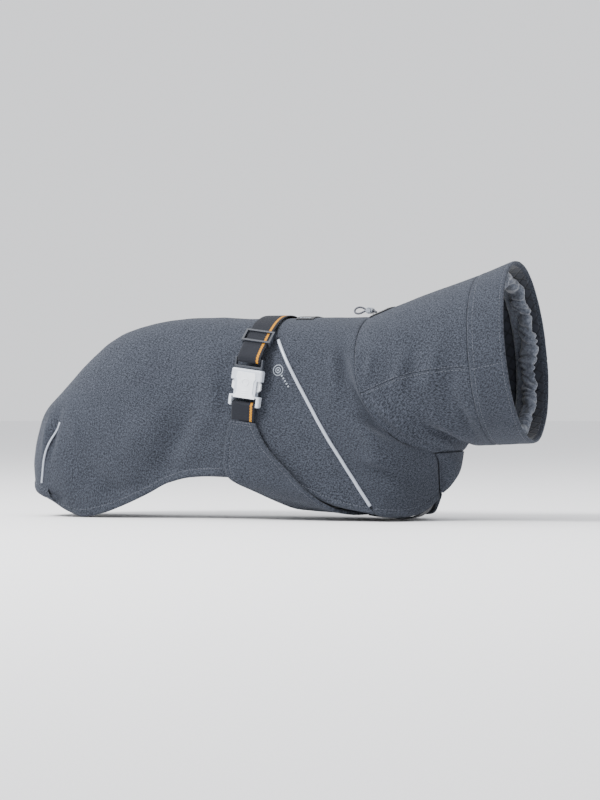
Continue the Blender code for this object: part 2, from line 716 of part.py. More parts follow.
def make_trim(group):
    """The spine label, the cord patch and the drawcord's loop."""
    patch_lift = CLOTH + 0.35 * MM
    panel("spine_label", lifted(back_surface, patch_lift), (11.65, 12.25), (-0.075, 0.075), (4, 4),
          "label", group, thick=CLOTH)
    panel("cord_patch", lifted(collar_surface, patch_lift + 0.4 * MM), (0.06, 0.42), (-0.085, 0.085), (4, 4),
          "label", group, thick=CLOTH)
    count = 30
    dense = [spline(CORD_ROUTE, step / count) * MM for step in range(count + 1)]
    tube("drawcord", dense, CORD_R, "webbing", group)


def build():
    """Clear the scene and build the coat."""
    for old in list(bpy.data.objects):
        bpy.data.objects.remove(old, do_unlink=True)
    group, tools = collection("dog_coat"), collection("cutters")
    make_panels(group)
    make_piping(group)
    make_trim(group)
    make_strap(group)
    for word, side in (("left", 1), ("right", -1)):
        make_tab(word, side, group)
        make_socket(word, side, group, tools)
        make_clip(word, side, group, tools)
        make_slider(word, side, group, tools)
        for end in (-1, 1):
            make_arm(word, side, end, group)
    make_toggle(group, tools)


build()
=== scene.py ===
"""A dog's winter coat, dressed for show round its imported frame.

The cloth is woven panel by panel on the same surfaces as the frame's solids, at a finer pitch and
with its folds, rolled seams, turned hems and stitches.  Webbing, piping and cord are swept along
their own routes.  Sizes are metres, written as millimetres times MM.
"""
import logging
from collections.abc import Callable, Iterable, Sequence
from dataclasses import dataclass, field
from enum import Enum
from math import atan2, cos, exp, pi, radians, sin, sqrt, tan

import bmesh
import bpy
from mathutils import Matrix, Vector, noise
from mathutils.bvhtree import BVHTree


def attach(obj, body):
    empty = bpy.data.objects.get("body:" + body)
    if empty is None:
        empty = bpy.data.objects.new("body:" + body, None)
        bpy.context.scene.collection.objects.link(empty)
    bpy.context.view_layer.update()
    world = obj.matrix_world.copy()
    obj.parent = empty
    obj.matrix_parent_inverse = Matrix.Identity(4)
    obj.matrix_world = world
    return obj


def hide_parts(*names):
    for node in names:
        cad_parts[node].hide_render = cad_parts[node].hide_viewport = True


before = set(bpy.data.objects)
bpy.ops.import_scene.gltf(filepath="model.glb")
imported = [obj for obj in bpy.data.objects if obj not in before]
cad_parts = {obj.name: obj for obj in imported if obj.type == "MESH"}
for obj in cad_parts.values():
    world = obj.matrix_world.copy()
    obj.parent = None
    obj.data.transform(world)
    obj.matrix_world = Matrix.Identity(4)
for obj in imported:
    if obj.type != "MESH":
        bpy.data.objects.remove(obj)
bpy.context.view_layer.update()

LOG = logging.getLogger("dog_coat")
MM = 0.001
CLOTH = 1.2 * MM
LINING = 0.9 * MM
PLY_GAP = 0.8 * MM
FOLD_DEPTH = 2.6                     # what the heights in the lists of folds are times on the cloth
Surface = Callable[[float, float], Vector]


class Side(Enum):
    """Which flank of the dog a piece is on; the value is the sign of its Y."""
    LEFT = 1
    RIGHT = -1

    @property
    def word(self) -> str:
        """The side's name in the frame's node names."""
        return self.name.lower()


# ---------------------------------------------------------------- surfaces of the coat

def between(a: Vector, b: Vector, c: Vector, d: Vector, t: float) -> Vector:
    """Point at share t of the way from b to c on the smooth curve through four knots."""
    return (b * 2 + (c - a) * t + (a * 2 - b * 5 + c * 4 - d) * t ** 2
            + (b * 3 - a - c * 3 + d) * t ** 3) / 2


def spline(points: Sequence[Sequence[float]], place: float) -> Vector:
    """Point on a Catmull-Rom curve.

    Args:
        points: the points that the curve passes through.
        place: where on the curve, 0 to 1.

    Returns:
        The point there.
    """
    knots = [Vector(p) for p in points]
    last = len(knots) - 1
    start = max(min(int(place * last), last - 1), 0)
    t = place * last - start
    b, c = knots[start], knots[start + 1]
    a = knots[start - 1] if start > 0 else b * 2 - c
    d = knots[start + 2] if start + 2 <= last else c * 2 - b
    return between(a, b, c, d, t)


@dataclass(frozen=True)
class Station:
    """One section of the back: hem and spine points in the centre plane and its widths, in mm."""
    spine: tuple[float, float]
    hem: tuple[float, float]
    width: float
    hem_width: float
    mid: float = 0.42
    flank: float = 0.3
    squareness: float = 2.6

    def at(self, height: float) -> Vector:
        """Point on the dog's left.

        Args:
            height: 0 at the hem to 1 at the spine.

        Returns:
            The point in metres.
        """
        if height < self.flank:
            part = height / self.flank
            share = self.mid * part
            y = self.hem_width + (self.width - self.hem_width) * sin(part * pi / 2)
        else:
            turn = min((height - self.flank) / (1 - self.flank), 1) * pi / 2
            share = self.mid + (1 - self.mid) * sin(turn) ** (2 / self.squareness)
            y = self.width * max(cos(turn), 0) ** (2 / self.squareness)
        x = self.hem[0] + (self.spine[0] - self.hem[0]) * share
        z = self.hem[1] + (self.spine[1] - self.hem[1]) * share
        return Vector((x, y, z)) * MM


@dataclass(frozen=True)
class CoatForm:
    """The coat's cloth surfaces; across runs from -1 at the right edge to 1 at the left."""
    stations: tuple[Station, ...] = (
        Station((-265, 30), (-241, 17), 46, 44, 0.15),
        Station((-266, 68), (-221, 6), 50, 47, 0.30),
        Station((-256, 108), (-200, -0.1), 54, 50, 0.38),
        Station((-234, 133), (-176, 4), 57, 53),
        Station((-206, 161), (-152, 12), 59, 55),
        Station((-172, 187), (-127, 23), 61, 56),
        Station((-137, 199), (-103, 35), 62, 57),
        Station((-100, 204), (-75, 42), 63, 58),
        Station((-65, 203.5), (-35, 42), 65, 60),
        Station((-33, 202.5), (30, 33), 67, 60),
        Station((-16, 202.5), (76, 15), 68, 60),
        Station((1, 202.5), (120, 6), 69, 58),
        Station((34, 203), (142, 4), 70, 44),
        Station((60, 203.5), (158, 8), 70, 24),
    )
    chest: tuple = ((169, 1.5, 20), (171.6, 11, 40))
    neck: tuple = (
        (172.6, 30, 66.8), (148, 52, 76), (126, 63, 94), (111, 68, 116.5), (103.5, 69, 138.5),
        (100.5, 66, 158.5), (99, 58, 175), (98.2, 44, 189), (97.8, 24, 199), (97.7, 0, 203),
    )
    throat: tuple = ((191, 0, 68.3), (185.6, 14, 66.8))
    keel: tuple = ((191, 0, 68.3), (188, 0, 48), (180, 0, 35), (171.2, 0, 27.5))
    gusset_reach: float = 0.8
    wrap_rear: tuple = (
        (32.6, 0, 8), (19.5, 28, 11), (-10.9, 53, 27.5), (-31.5, 66, 40),
        (-37, 69, 56), (-34.7, 71.5, 78), (-29, 72.8, 99.8),
    )
    wrap_front: tuple = (
        (97.7, 0, 4), (89, 32, 4.5), (73.8, 57, 9.5), (55.4, 66.5, 23),
        (33.7, 70, 45), (9.8, 72.5, 72), (-3, 72.8, 96.2),
    )
    bridge_line: tuple = ((98.5, 3.2), (120, 0.9), (140, 0.6), (153, 6), (160.3, 15), (164.9, 27))
    bridge_half: tuple[float, float] = (16, 6)
    mid_ring: tuple = ((155, 224), (201, 74), 72, 20)
    seam_ring: tuple = ((213, 244), (228, 74.5), 76, 0)
    rim_ring: tuple = ((248, 257), (266.4, 77.5), 78, 0)
    collar_split: tuple[float, float] = (0.49, 0.47)
    left_rise: tuple = (0, 3, 13, 19, 22, 21, 13, 5, 0)
    rise_reach: float = 0.55
    gathers: int = 13
    core: tuple[float, float, float] = (-190, 60, 100)    # ends and height of the dog's middle line
    probe: float = 0.004                                  # half step for slopes

    @property
    def last(self) -> int:
        """The place of the back's front edge."""
        return len(self.stations)

    def _front_edge(self, height: float) -> Vector:
        return spline(self.chest + self.neck, height) * MM

    @staticmethod
    def _on_side(point: Vector, across: float) -> Vector:
        return Vector((point.x, -point.y if across < 0 else point.y, point.z))

    def back(self, place: float, across: float) -> Vector:
        """Outer surface of the back and yoke; place runs from 0 at the rump to `last` at the neck."""
        height = 1 - abs(across)
        start = max(min(int(place), self.last - 1), 0)
        near = []
        for index in range(start - 1, start + 3):
            near.append(self._front_edge(height) if index >= self.last
                        else self.stations[max(index, 0)].at(height))
            if across >= 0 and 0 <= index < len(self.left_rise):
                near[-1].z += self.left_rise[index] * MM * max(1 - height / self.rise_reach, 0) ** 2
        if start == 0:
            near[0] = near[1] * 2 - near[2]
        if start == self.last - 1:
            near[3] = near[2] * 2 - near[1]
        return self._on_side(between(*near, place - start), across)

    @staticmethod
    def _ring(ring: tuple, height: float) -> Vector:
        (top_x, top_z), (low_x, low_z), width, bow = ring
        turn = pi * (1 - height)
        x = (top_x + low_x) / 2 + (top_x - low_x) / 2 * cos(turn) - bow * sin(turn) ** 2
        z = (top_z + low_z) / 2 + (top_z - low_z) / 2 * cos(turn)
        return Vector((x, width * max(sin(turn), 0) ** 0.9, z)) * MM

    def collar(self, place: float, across: float) -> Vector:
        """Outer surface of the collar: 0 at the neck, 1 and 2 at the rings, 3 at the rim.

        An across above 1 runs on over the throat to the right side.
        """
        if across > 1:
            across -= 2
        height = 1 - abs(across)
        rings = [spline(self.throat + self.neck, height) * MM, self._ring(self.mid_ring, height),
                 self._ring(self.seam_ring, height), self._ring(self.rim_ring, height)]
        point = spline(rings, place / 3)
        if abs(across) >= 1 or height >= 1:
            point.y = 0
        return self._on_side(point, across)

    def wrap(self, place: float, across: float) -> Vector:
        """Outer surface of the belly wrap: place 0 at its rear edge, 1 at its front edge."""
        rear, front = spline(self.wrap_rear, abs(across)), spline(self.wrap_front, abs(across))
        return self._on_side((rear + (front - rear) * place) * MM, across)

    def gusset(self, place: float, across: float) -> Vector:
        """Outer surface of the chest gusset: place 0 at the throat, 1 at the tip."""
        keel = spline(self.keel, place)
        corner = len(self.chest) / (len(self.chest) + len(self.neck) - 1)
        edge = self._front_edge(corner * (1 - place * self.gusset_reach)) / MM
        edge.y = max(edge.y - 1.28, 0.5)
        width = abs(across)
        point = Vector((keel.x + (edge.x - keel.x) * (1 - cos(width * pi / 2)),
                        edge.y * sin(width * pi / 2), keel.z + (edge.z - keel.z) * width))
        return self._on_side(point * MM, across)

    def bridge(self, place: float, across: float) -> Vector:
        """Lower surface of the strip between the forelegs: 0 under the belly, 1 at the chest."""
        x, z = spline(self.bridge_line, place)
        half = self.bridge_half[0] + (self.bridge_half[1] - self.bridge_half[0]) * place
        return Vector((x, across * half, z)) * MM

    def gathered(self, place: float, across: float) -> Vector:
        """The gathered inner collar, which narrows towards its mouth inside the rim."""
        on_ring = self.collar(2.15 + 0.72 * place, across)
        middle = (self.collar(2.15 + 0.72 * place, 0) + self.collar(2.15 + 0.72 * place, 1)) / 2
        size = 0.945 - 0.145 * place + 0.022 * place * cos(across * pi * self.gathers)
        return middle + (on_ring - middle) * size

    def outward(self, surface: Surface, place: float, across: float) -> Vector:
        """Unit normal of a surface, away from the dog.

        Args:
            surface: one of this form's surfaces.
            place: along the surface.
            across: round the surface.

        Returns:
            The normal.
        """
        along = surface(place + self.probe, across) - surface(place - self.probe, across)
        over = surface(place, across + self.probe) - surface(place, across - self.probe)
        normal = along.cross(over).normalized()
        here = surface(place, across)
        if surface in (self.collar, self.gathered):
            middle = (surface(place, 0) + surface(place, 1)) / 2
        else:
            rear, front, height = self.core
            middle = Vector((max(min(here.x, front * MM), rear * MM), 0, height * MM))
        return normal if normal.dot(here - middle) > 0 else -normal


FORM = CoatForm()


# ---------------------------------------------------------------- finishes

class Nodes:
    """A material and the short calls that wire its nodes."""

    def __init__(self, name: str, roughness: float, **sockets: float) -> None:
        """Start a material.

        Args:
            name: the material's name.
            roughness: of the shader.
            **sockets: further shader sockets, with _ for a space.
        """
        self.material = bpy.data.materials.new(name)
        self.material.use_nodes = True
        self.tree = self.material.node_tree
        self.shader = self.tree.nodes["Principled BSDF"]
        self.shader.inputs["Roughness"].default_value = roughness
        for socket, value in sockets.items():
            self.shader.inputs[socket.replace("_", " ")].default_value = value

    def put(self, kind: str, values: dict[object, object], **settings: object) -> bpy.types.Node:
        """Add a node.

        Args:
            kind: the node's type without ShaderNode.
            values: input name or number to a value or an output socket.
            **settings: the node's own properties.

        Returns:
            The node.
        """
        node = self.tree.nodes.new("ShaderNode" + kind)
        for key, value in settings.items():
            setattr(node, key, value)
        for key, value in values.items():
            self.feed(node.inputs[key], value)
        return node

    def feed(self, socket: bpy.types.NodeSocket, value: object) -> None:
        """Link an output to the socket, or set its value."""
        if isinstance(value, bpy.types.NodeSocket):
            self.tree.links.new(value, socket)
        else:
            socket.default_value = value

    def coordinates(self, weave: bool, scale: tuple[float, float, float] = (1, 1, 1)) -> bpy.types.NodeSocket:
        """Scaled coordinates: the cloth's own map if weave is true, or the object's."""
        if weave:
            source = self.put("UVMap", {}, uv_map="weave").outputs["UV"]
        else:
            source = self.put("TexCoord", {}).outputs["Object"]
        return self.put("Mapping", {"Vector": source, "Scale": scale}).outputs["Vector"]

    def noise(self, vector: bpy.types.NodeSocket, scale: float, detail: float = 2.0) -> bpy.types.NodeSocket:
        """Noise between 0 and 1."""
        return self.put("TexNoise", {"Vector": vector, "Scale": scale, "Detail": detail}).outputs["Fac"]

    def maths(self, operation: str, a: object, b: object = 0.0) -> bpy.types.NodeSocket:
        """One sum of two values."""
        return self.put("Math", {0: a, 1: b}, operation=operation).outputs[0]

    def spread(self, value: bpy.types.NodeSocket, low: float, high: float) -> bpy.types.NodeSocket:
        """Stretch the values between low and high to 0 and 1."""
        return self.put("MapRange", {"Value": value, 1: low, 2: high, 3: 0.0, 4: 1.0}).outputs[0]

    def ramp(self, factor: bpy.types.NodeSocket, *stops: tuple[float, tuple]) -> bpy.types.NodeSocket:
        """A colour for each value of the factor.

        Args:
            factor: the value.
            *stops: a position and its linear colour each.

        Returns:
            The colour.
        """
        node = self.put("ValToRGB", {"Fac": factor})
        bar = node.color_ramp.elements
        while len(bar) < len(stops):
            bar.new(0.5)
        for element, (position, colour) in zip(bar, stops):
            element.position = position
            element.color = (*colour, 1)
        return node.outputs["Color"]

    def shades(self, factor: bpy.types.NodeSocket, base: tuple, *stops: tuple[float, float]) -> bpy.types.NodeSocket:
        """Shades of one colour: each stop is a position and what the colour is times there."""
        return self.ramp(factor, *((at, tuple(min(c * times, 1) for c in base)) for at, times in stops))

    def sum(self, a: object, a_share: float, b: object, b_share: float) -> bpy.types.NodeSocket:
        """Two values added in shares."""
        return self.maths("ADD", self.maths("MULTIPLY", a, a_share), self.maths("MULTIPLY", b, b_share))

    def cloth_axes(self) -> tuple[bpy.types.NodeSocket, bpy.types.NodeSocket]:
        """Distances along and across the cloth's own map."""
        split = self.put("SeparateXYZ", {"Vector": self.coordinates(True)})
        return split.outputs["X"], split.outputs["Y"]

    def blend(self, factor: object, a: object, b: object) -> bpy.types.NodeSocket:
        """Mix colour b over colour a."""
        return self.put("Mix", {0: factor, 6: a, 7: b}, data_type="RGBA").outputs[2]

    def colour(self, value: object) -> None:
        """Set the shader's base colour."""
        self.feed(self.shader.inputs["Base Color"], value)

    def bump(self, height: bpy.types.NodeSocket, distance: float, strength: float = 1.0) -> None:
        """Raise the shader's normal by a height field."""
        made = self.put("Bump", {"Height": height, "Distance": distance, "Strength": strength})
        self.feed(self.shader.inputs["Normal"], made.outputs["Normal"])


class Finish:
    """A finish that makes its material once."""
    _made: dict[str, bpy.types.Material] = {}
    name: str

    def wire(self) -> bpy.types.Material:
        """Make the material."""
        raise NotImplementedError

    @property
    def material(self) -> bpy.types.Material:
        """The finish's material."""
        if self.name not in self._made:
            self._made[self.name] = self.wire()
        return self._made[self.name]


Colour = tuple[float, float, float]


@dataclass(frozen=True)
class MelangeCloth(Finish):
    """Woven softshell of light and dark fibres."""
    name: str = "melange_softshell"
    dark: Colour = (0.0105, 0.0128, 0.0180)
    light: Colour = (0.055, 0.062, 0.080)
    thread: float = 1.05             # threads to a millimetre

    def wire(self) -> bpy.types.Material:
        """Fibre flecks along warp and weft, cloudy variation, and a raised plain weave."""
        n = Nodes(self.name, 0.92, Sheen_Weight=0.10, Sheen_Roughness=0.5, Specular_IOR_Level=0.2)
        n.shader.inputs["Sheen Tint"].default_value = (0.75, 0.80, 0.92, 1)
        warp = n.spread(n.noise(n.coordinates(True, (420, 1250, 1)), 1.0, 3.0), 0.38, 0.62)
        weft = n.spread(n.noise(n.coordinates(True, (1250, 460, 1)), 1.0, 3.0), 0.38, 0.62)
        cloud = n.noise(n.coordinates(True, (45, 60, 1)), 1.0, 3.0)
        flecks = n.sum(warp, 0.5, weft, 0.5)
        mixed = n.sum(flecks, 0.86, cloud, 0.14)
        middle = tuple((a + b) / 2.2 for a, b in zip(self.dark, self.light))
        n.colour(n.ramp(mixed, (0.24, self.dark), (0.50, middle), (0.76, self.light)))
        turn = 2 * pi * self.thread / MM
        over, under = (n.maths("SINE", n.maths("MULTIPLY", axis, turn)) for axis in n.cloth_axes())
        height = n.maths("ADD", n.maths("MULTIPLY", over, under), n.maths("MULTIPLY", flecks, 4.0))
        n.bump(height, 0.10 * MM, 0.8)
        return n.material


@dataclass(frozen=True)
class QuiltedLining(Finish):
    """Dark padded lining with sewn diamonds."""
    name: str = "quilted_lining"
    base: Colour = (0.013, 0.015, 0.021)
    pitch: float = 14 * MM

    def wire(self) -> bpy.types.Material:
        """A fine knit, with channels on two slanting sets of lines, painted darker as shade in the channels and
        lighter on the puffs between them.
        """
        n = Nodes(self.name, 0.85, Sheen_Weight=0.25, Specular_IOR_Level=0.25)
        u, v = n.cloth_axes()
        channels = []
        for joined in (n.maths("ADD", u, v), n.maths("SUBTRACT", u, v)):
            wave = n.maths("SINE", n.maths("MULTIPLY", joined, pi / self.pitch))
            channels.append(n.maths("MINIMUM", n.maths("MULTIPLY", n.maths("ABSOLUTE", wave), 2.4), 1.0))
        quilt = n.maths("MULTIPLY", *channels)
        knit = n.noise(n.coordinates(True, (1600, 900, 1)), 1.0, 2.0)
        # Colour follows the quilting's height: painted shade in the sewn channels, painted light on the puffs, with
        # the knit's own flecks.
        n.colour(n.shades(n.sum(quilt, 0.6, knit, 0.4), self.base, (0.15, 0.55), (0.85, 1.5)))
        n.bump(n.maths("ADD", quilt, n.maths("MULTIPLY", knit, 0.10)), 0.7 * MM, 0.5)
        return n.material


@dataclass(frozen=True)
class Fleece(Finish):
    """Soft brushed cloth of the gathered ring."""
    name: str = "brushed_fleece"
    dark: Colour = (0.045, 0.052, 0.068)
    light: Colour = (0.165, 0.182, 0.220)

    def wire(self) -> bpy.types.Material:
        """Short brushed pile in clumps."""
        n = Nodes(self.name, 0.96, Sheen_Weight=0.5, Sheen_Roughness=0.45, Specular_IOR_Level=0.2)
        clumps = n.noise(n.coordinates(False), 420.0, 4.0)
        pile = n.noise(n.coordinates(False), 1700.0, 2.0)
        mixed = n.sum(clumps, 0.6, pile, 0.4)
        n.colour(n.ramp(mixed, (0.34, self.dark), (0.66, self.light)))
        n.bump(mixed, 0.8 * MM, 0.8)
        return n.material


@dataclass(frozen=True)
class Webbing(Finish):
    """Ribbed strap webbing with one contrast thread near its front edge."""
    name: str = "ribbed_webbing"
    base: Colour = (0.0075, 0.0088, 0.0135)
    stripe: Colour = (0.44, 0.185, 0.004)
    stripe_at: float = 8.6 * MM      # from the middle of the webbing
    stripe_half: float = 1.15 * MM

    def wire(self) -> bpy.types.Material:
        """Yarn flecks, and a stripe whose edge steps with the ribs."""
        n = Nodes(self.name, 0.8, Sheen_Weight=0.05, Specular_IOR_Level=0.25)
        along, across = n.cloth_axes()
        yarn = n.noise(n.coordinates(True, (700, 2600, 1)), 1.0, 2.0)
        plain = n.shades(yarn, self.base, (0.3, 0.62), (0.7, 1.45))
        bright = n.shades(yarn, self.stripe, (0.25, 0.7), (0.75, 1.2))
        wander = n.maths("MULTIPLY", n.maths("SINE", n.maths("MULTIPLY", along, 2 * pi / (2.9 * MM))), 0.22 * MM)
        off = n.maths("ABSOLUTE", n.maths("SUBTRACT", n.maths("SUBTRACT", across, self.stripe_at), wander))
        inside = n.maths("LESS_THAN", off, self.stripe_half)
        n.colour(n.blend(inside, plain, bright))
        fine = n.maths("SINE", n.maths("MULTIPLY", across, 2 * pi / (0.8 * MM)))
        n.bump(n.maths("ADD", fine, n.maths("MULTIPLY", yarn, 3.0)), 0.07 * MM, 0.8)
        return n.material


@dataclass(frozen=True)
class MouldedPlastic(Finish):
    """Injection-moulded plastic with a fine spark-eroded grain and rubbed patches."""
    name: str
    base: Colour
    roughness: float
    coat: float = 0.0
    transmission: float = 0.0

    def wire(self) -> bpy.types.Material:
        """Grain, slow cloudiness and worn gloss."""
        n = Nodes(self.name, self.roughness, Coat_Weight=self.coat, Coat_Roughness=0.25,
                  Transmission_Weight=self.transmission, IOR=1.49, Specular_IOR_Level=0.5)
        here = n.coordinates(False)
        cloud = n.noise(here, 160.0, 3.0)
        n.colour(n.shades(cloud, self.base, (0.3, 0.90), (0.7, 1)))
        worn = n.put("MapRange", {"Value": n.noise(here, 420.0, 4.0), 1: 0.35, 2: 0.7,
                                  3: self.roughness * 0.8, 4: self.roughness * 1.25}).outputs[0]
        n.feed(n.shader.inputs["Roughness"], worn)
        n.bump(n.noise(here, 5200.0, 2.0), 0.05 * MM, 0.35)
        return n.material


@dataclass(frozen=True)
class ReflectiveTape(Finish):
    """Silver reflective piping cloth with a fine bead grain."""
    name: str = "reflective_tape"
    base: Colour = (0.34, 0.37, 0.43)

    def wire(self) -> bpy.types.Material:
        """Glass-bead sparkle over silver."""
        n = Nodes(self.name, 0.42, Metallic=0.25, Specular_IOR_Level=0.6)
        beads = n.noise(n.coordinates(False), 3000.0, 2.0)
        n.colour(n.shades(beads, self.base, (0.3, 0.82), (0.7, 1.15)))
        n.bump(beads, 0.06 * MM, 0.5)
        return n.material


@dataclass(frozen=True)
class Yarn(Finish):
    """Twisted thread or cord."""
    name: str
    base: Colour
    strand: float = 2400.0

    def wire(self) -> bpy.types.Material:
        """Strands that show as small light and dark turns."""
        n = Nodes(self.name, 0.75, Sheen_Weight=0.2)
        strands = n.noise(n.coordinates(False), self.strand, 2.0)
        n.colour(n.shades(strands, self.base, (0.3, 0.55), (0.7, 1.5)))
        n.bump(strands, 0.12 * MM, 0.8)
        return n.material


@dataclass(frozen=True)
class WovenLabel(Finish):
    """Tight satin label cloth, nearly black."""
    name: str = "label_satin"
    base: Colour = (0.010, 0.011, 0.014)

    def wire(self) -> bpy.types.Material:
        """Satin rows."""
        n = Nodes(self.name, 0.6, Sheen_Weight=0.15)
        rows = n.noise(n.coordinates(True, (600, 3600, 1)), 1.0, 2.0)
        n.colour(n.shades(rows, self.base, (0.3, 0.5), (0.7, 1.7)))
        n.bump(rows, 0.08 * MM, 0.7)
        return n.material


@dataclass(frozen=True)
class StudioPaper(Finish):
    """Matt paper of the floor."""
    name: str = "studio_paper"

    def wire(self) -> bpy.types.Material:
        """Pale, with hardly any tooth."""
        n = Nodes(self.name, 0.95, Specular_IOR_Level=0.1)
        tooth = n.noise(n.coordinates(False), 900.0, 2.0)
        n.colour(n.ramp(tooth, (0.3, (0.86, 0.86, 0.87)), (0.7, (0.90, 0.90, 0.91))))
        return n.material


SHELL = MelangeCloth()
LINED = QuiltedLining()
FLEECE = Fleece()
WEBBING = Webbing()
TAPE = ReflectiveTape()
LABEL = WovenLabel()
WHITE_PLASTIC = MouldedPlastic("white_moulding", (0.78, 0.81, 0.86), 0.34, coat=0.2)
# A darker copy of the white moulding for the buckle sockets: its colour is painted shade.
SHADED_WHITE = MouldedPlastic("white_moulding_painted_shade", (0.56, 0.60, 0.67), 0.30, coat=0.3)
GREY_PLASTIC = MouldedPlastic("grey_moulding", (0.024, 0.028, 0.038), 0.42)
CLEAR_PLASTIC = MouldedPlastic("clear_moulding", (0.34, 0.37, 0.42), 0.12, transmission=0.2)
SEAM_THREAD = Yarn("seam_thread", (0.060, 0.068, 0.088))
DARK_THREAD = Yarn("dark_thread", (0.022, 0.025, 0.032))
PRINT = Yarn("silver_print", (0.22, 0.245, 0.285))
CORD_YARN = Yarn("cord_yarn", (0.060, 0.064, 0.078), 1500.0)


# ---------------------------------------------------------------- making pieces

def finish_piece(made: bpy.types.Object, finish: Finish, nodes: Iterable[str] = ()) -> None:
    """Give a new piece its material, hide the CAD nodes that it replaces, and attach it to the coat.

    Args:
        made: the new object.
        finish: its finish.
        nodes: CAD nodes that it replaces.
    """
    made.data.materials.clear()
    made.data.materials.append(finish.material)
    if nodes:
        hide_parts(*nodes)
    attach(made, "coat")
    LOG.info("%s rides on the coat", made.name)


def as_object(name: str, bm: bmesh.types.BMesh, smooth: bool = True) -> bpy.types.Object:
    """Turn a bmesh into a linked object with smooth or flat faces."""
    mesh = bpy.data.meshes.new(name)
    bm.to_mesh(mesh)
    bm.free()
    mesh.polygons.foreach_set("use_smooth", [smooth] * len(mesh.polygons))
    made = bpy.data.objects.new(name, mesh)
    bpy.context.scene.collection.objects.link(made)
    return made


def graded(low: float, high: float, middle: int, ends: int, reach: float) -> list[float]:
    """Values from low to high, closer together within reach of both ends.

    Args:
        low: first value.
        high: last value.
        middle: steps between the two fine stretches.
        ends: steps in each fine stretch.
        reach: length of each fine stretch, in the values' own unit.

    Returns:
        The values.
    """
    fine = [reach * step / ends for step in range(ends)]
    wide = high - low
    return ([low + f for f in fine]
            + [low + reach + (wide - 2 * reach) * step / middle for step in range(middle + 1)]
            + [high - f for f in reversed(fine)])


@dataclass(frozen=True)
class Spot:
    """A point of a panel: its parameters and its distances along the cloth to the four edges."""
    place: float
    across: float
    rear: float
    front: float
    right: float
    left: float
    point: Vector

    @property
    def side(self) -> float:
        """Distance to the nearer of the right and left edges."""
        return min(self.right, self.left)


Relief = Callable[[Spot], float]


@dataclass(frozen=True)
class Fold:
    """A soft ridge, or a valley if its height is negative, that shows on both flanks."""
    start: tuple[float, float]       # X and Z in mm
    end: tuple[float, float]
    width: float
    height: float

    def at(self, point: Vector) -> float:
        """Height of the fold at a point, in metres."""
        a, b = Vector(self.start) * MM, Vector(self.end) * MM
        here = Vector((point.x, point.z)) - a
        run = b - a
        share = max(min(here.dot(run) / run.length_squared, 1), 0)
        off = (here - run * share).length / (self.width * MM)
        taper = 0.35 + 0.65 * sin(pi * share)
        return self.height * MM * exp(-off * off) * taper if off < 3 else 0.0


def folds_at(folds: Sequence[Fold], point: Vector) -> float:
    """Sum of the folds, shifted on the far flank, so the two differ."""
    if point.y > 0:
        point = Vector((point.x + 4 * MM, point.y, point.z - 3 * MM))
    return sum(fold.at(point) for fold in folds)


def drape(point: Vector, wide: float, fine: float) -> float:
    """Slow and quick unevenness of cloth.

    Args:
        point: where, in metres.
        wide: height of the slow waves.
        fine: height of the quick ones.

    Returns:
        The offset in metres.
    """
    return noise.noise(point * 17) * wide + noise.noise(point * 62 + Vector((3, 7, 1))) * fine


def groove(distance: float, at: float, width: float = 0.9 * MM, depth: float = 0.45 * MM) -> float:
    """The dip that a row of stitches pulls into the cloth."""
    return -depth * exp(-((distance - at) / width) ** 2)


def rolled(distance: float, reach: float = 2.2 * MM, depth: float = 0.9 * MM) -> float:
    """The way that cloth rolls in at a seam or a hem."""
    return -depth * max(1 - distance / reach, 0) ** 2


def pucker(along: float, distance: float, at: float, pitch: float = 7 * MM, height: float = 0.16 * MM) -> float:
    """Small ripples beside a row of stitches."""
    return height * sin(2 * pi * along / pitch) * exp(-((distance - at) / (5 * MM)) ** 2)


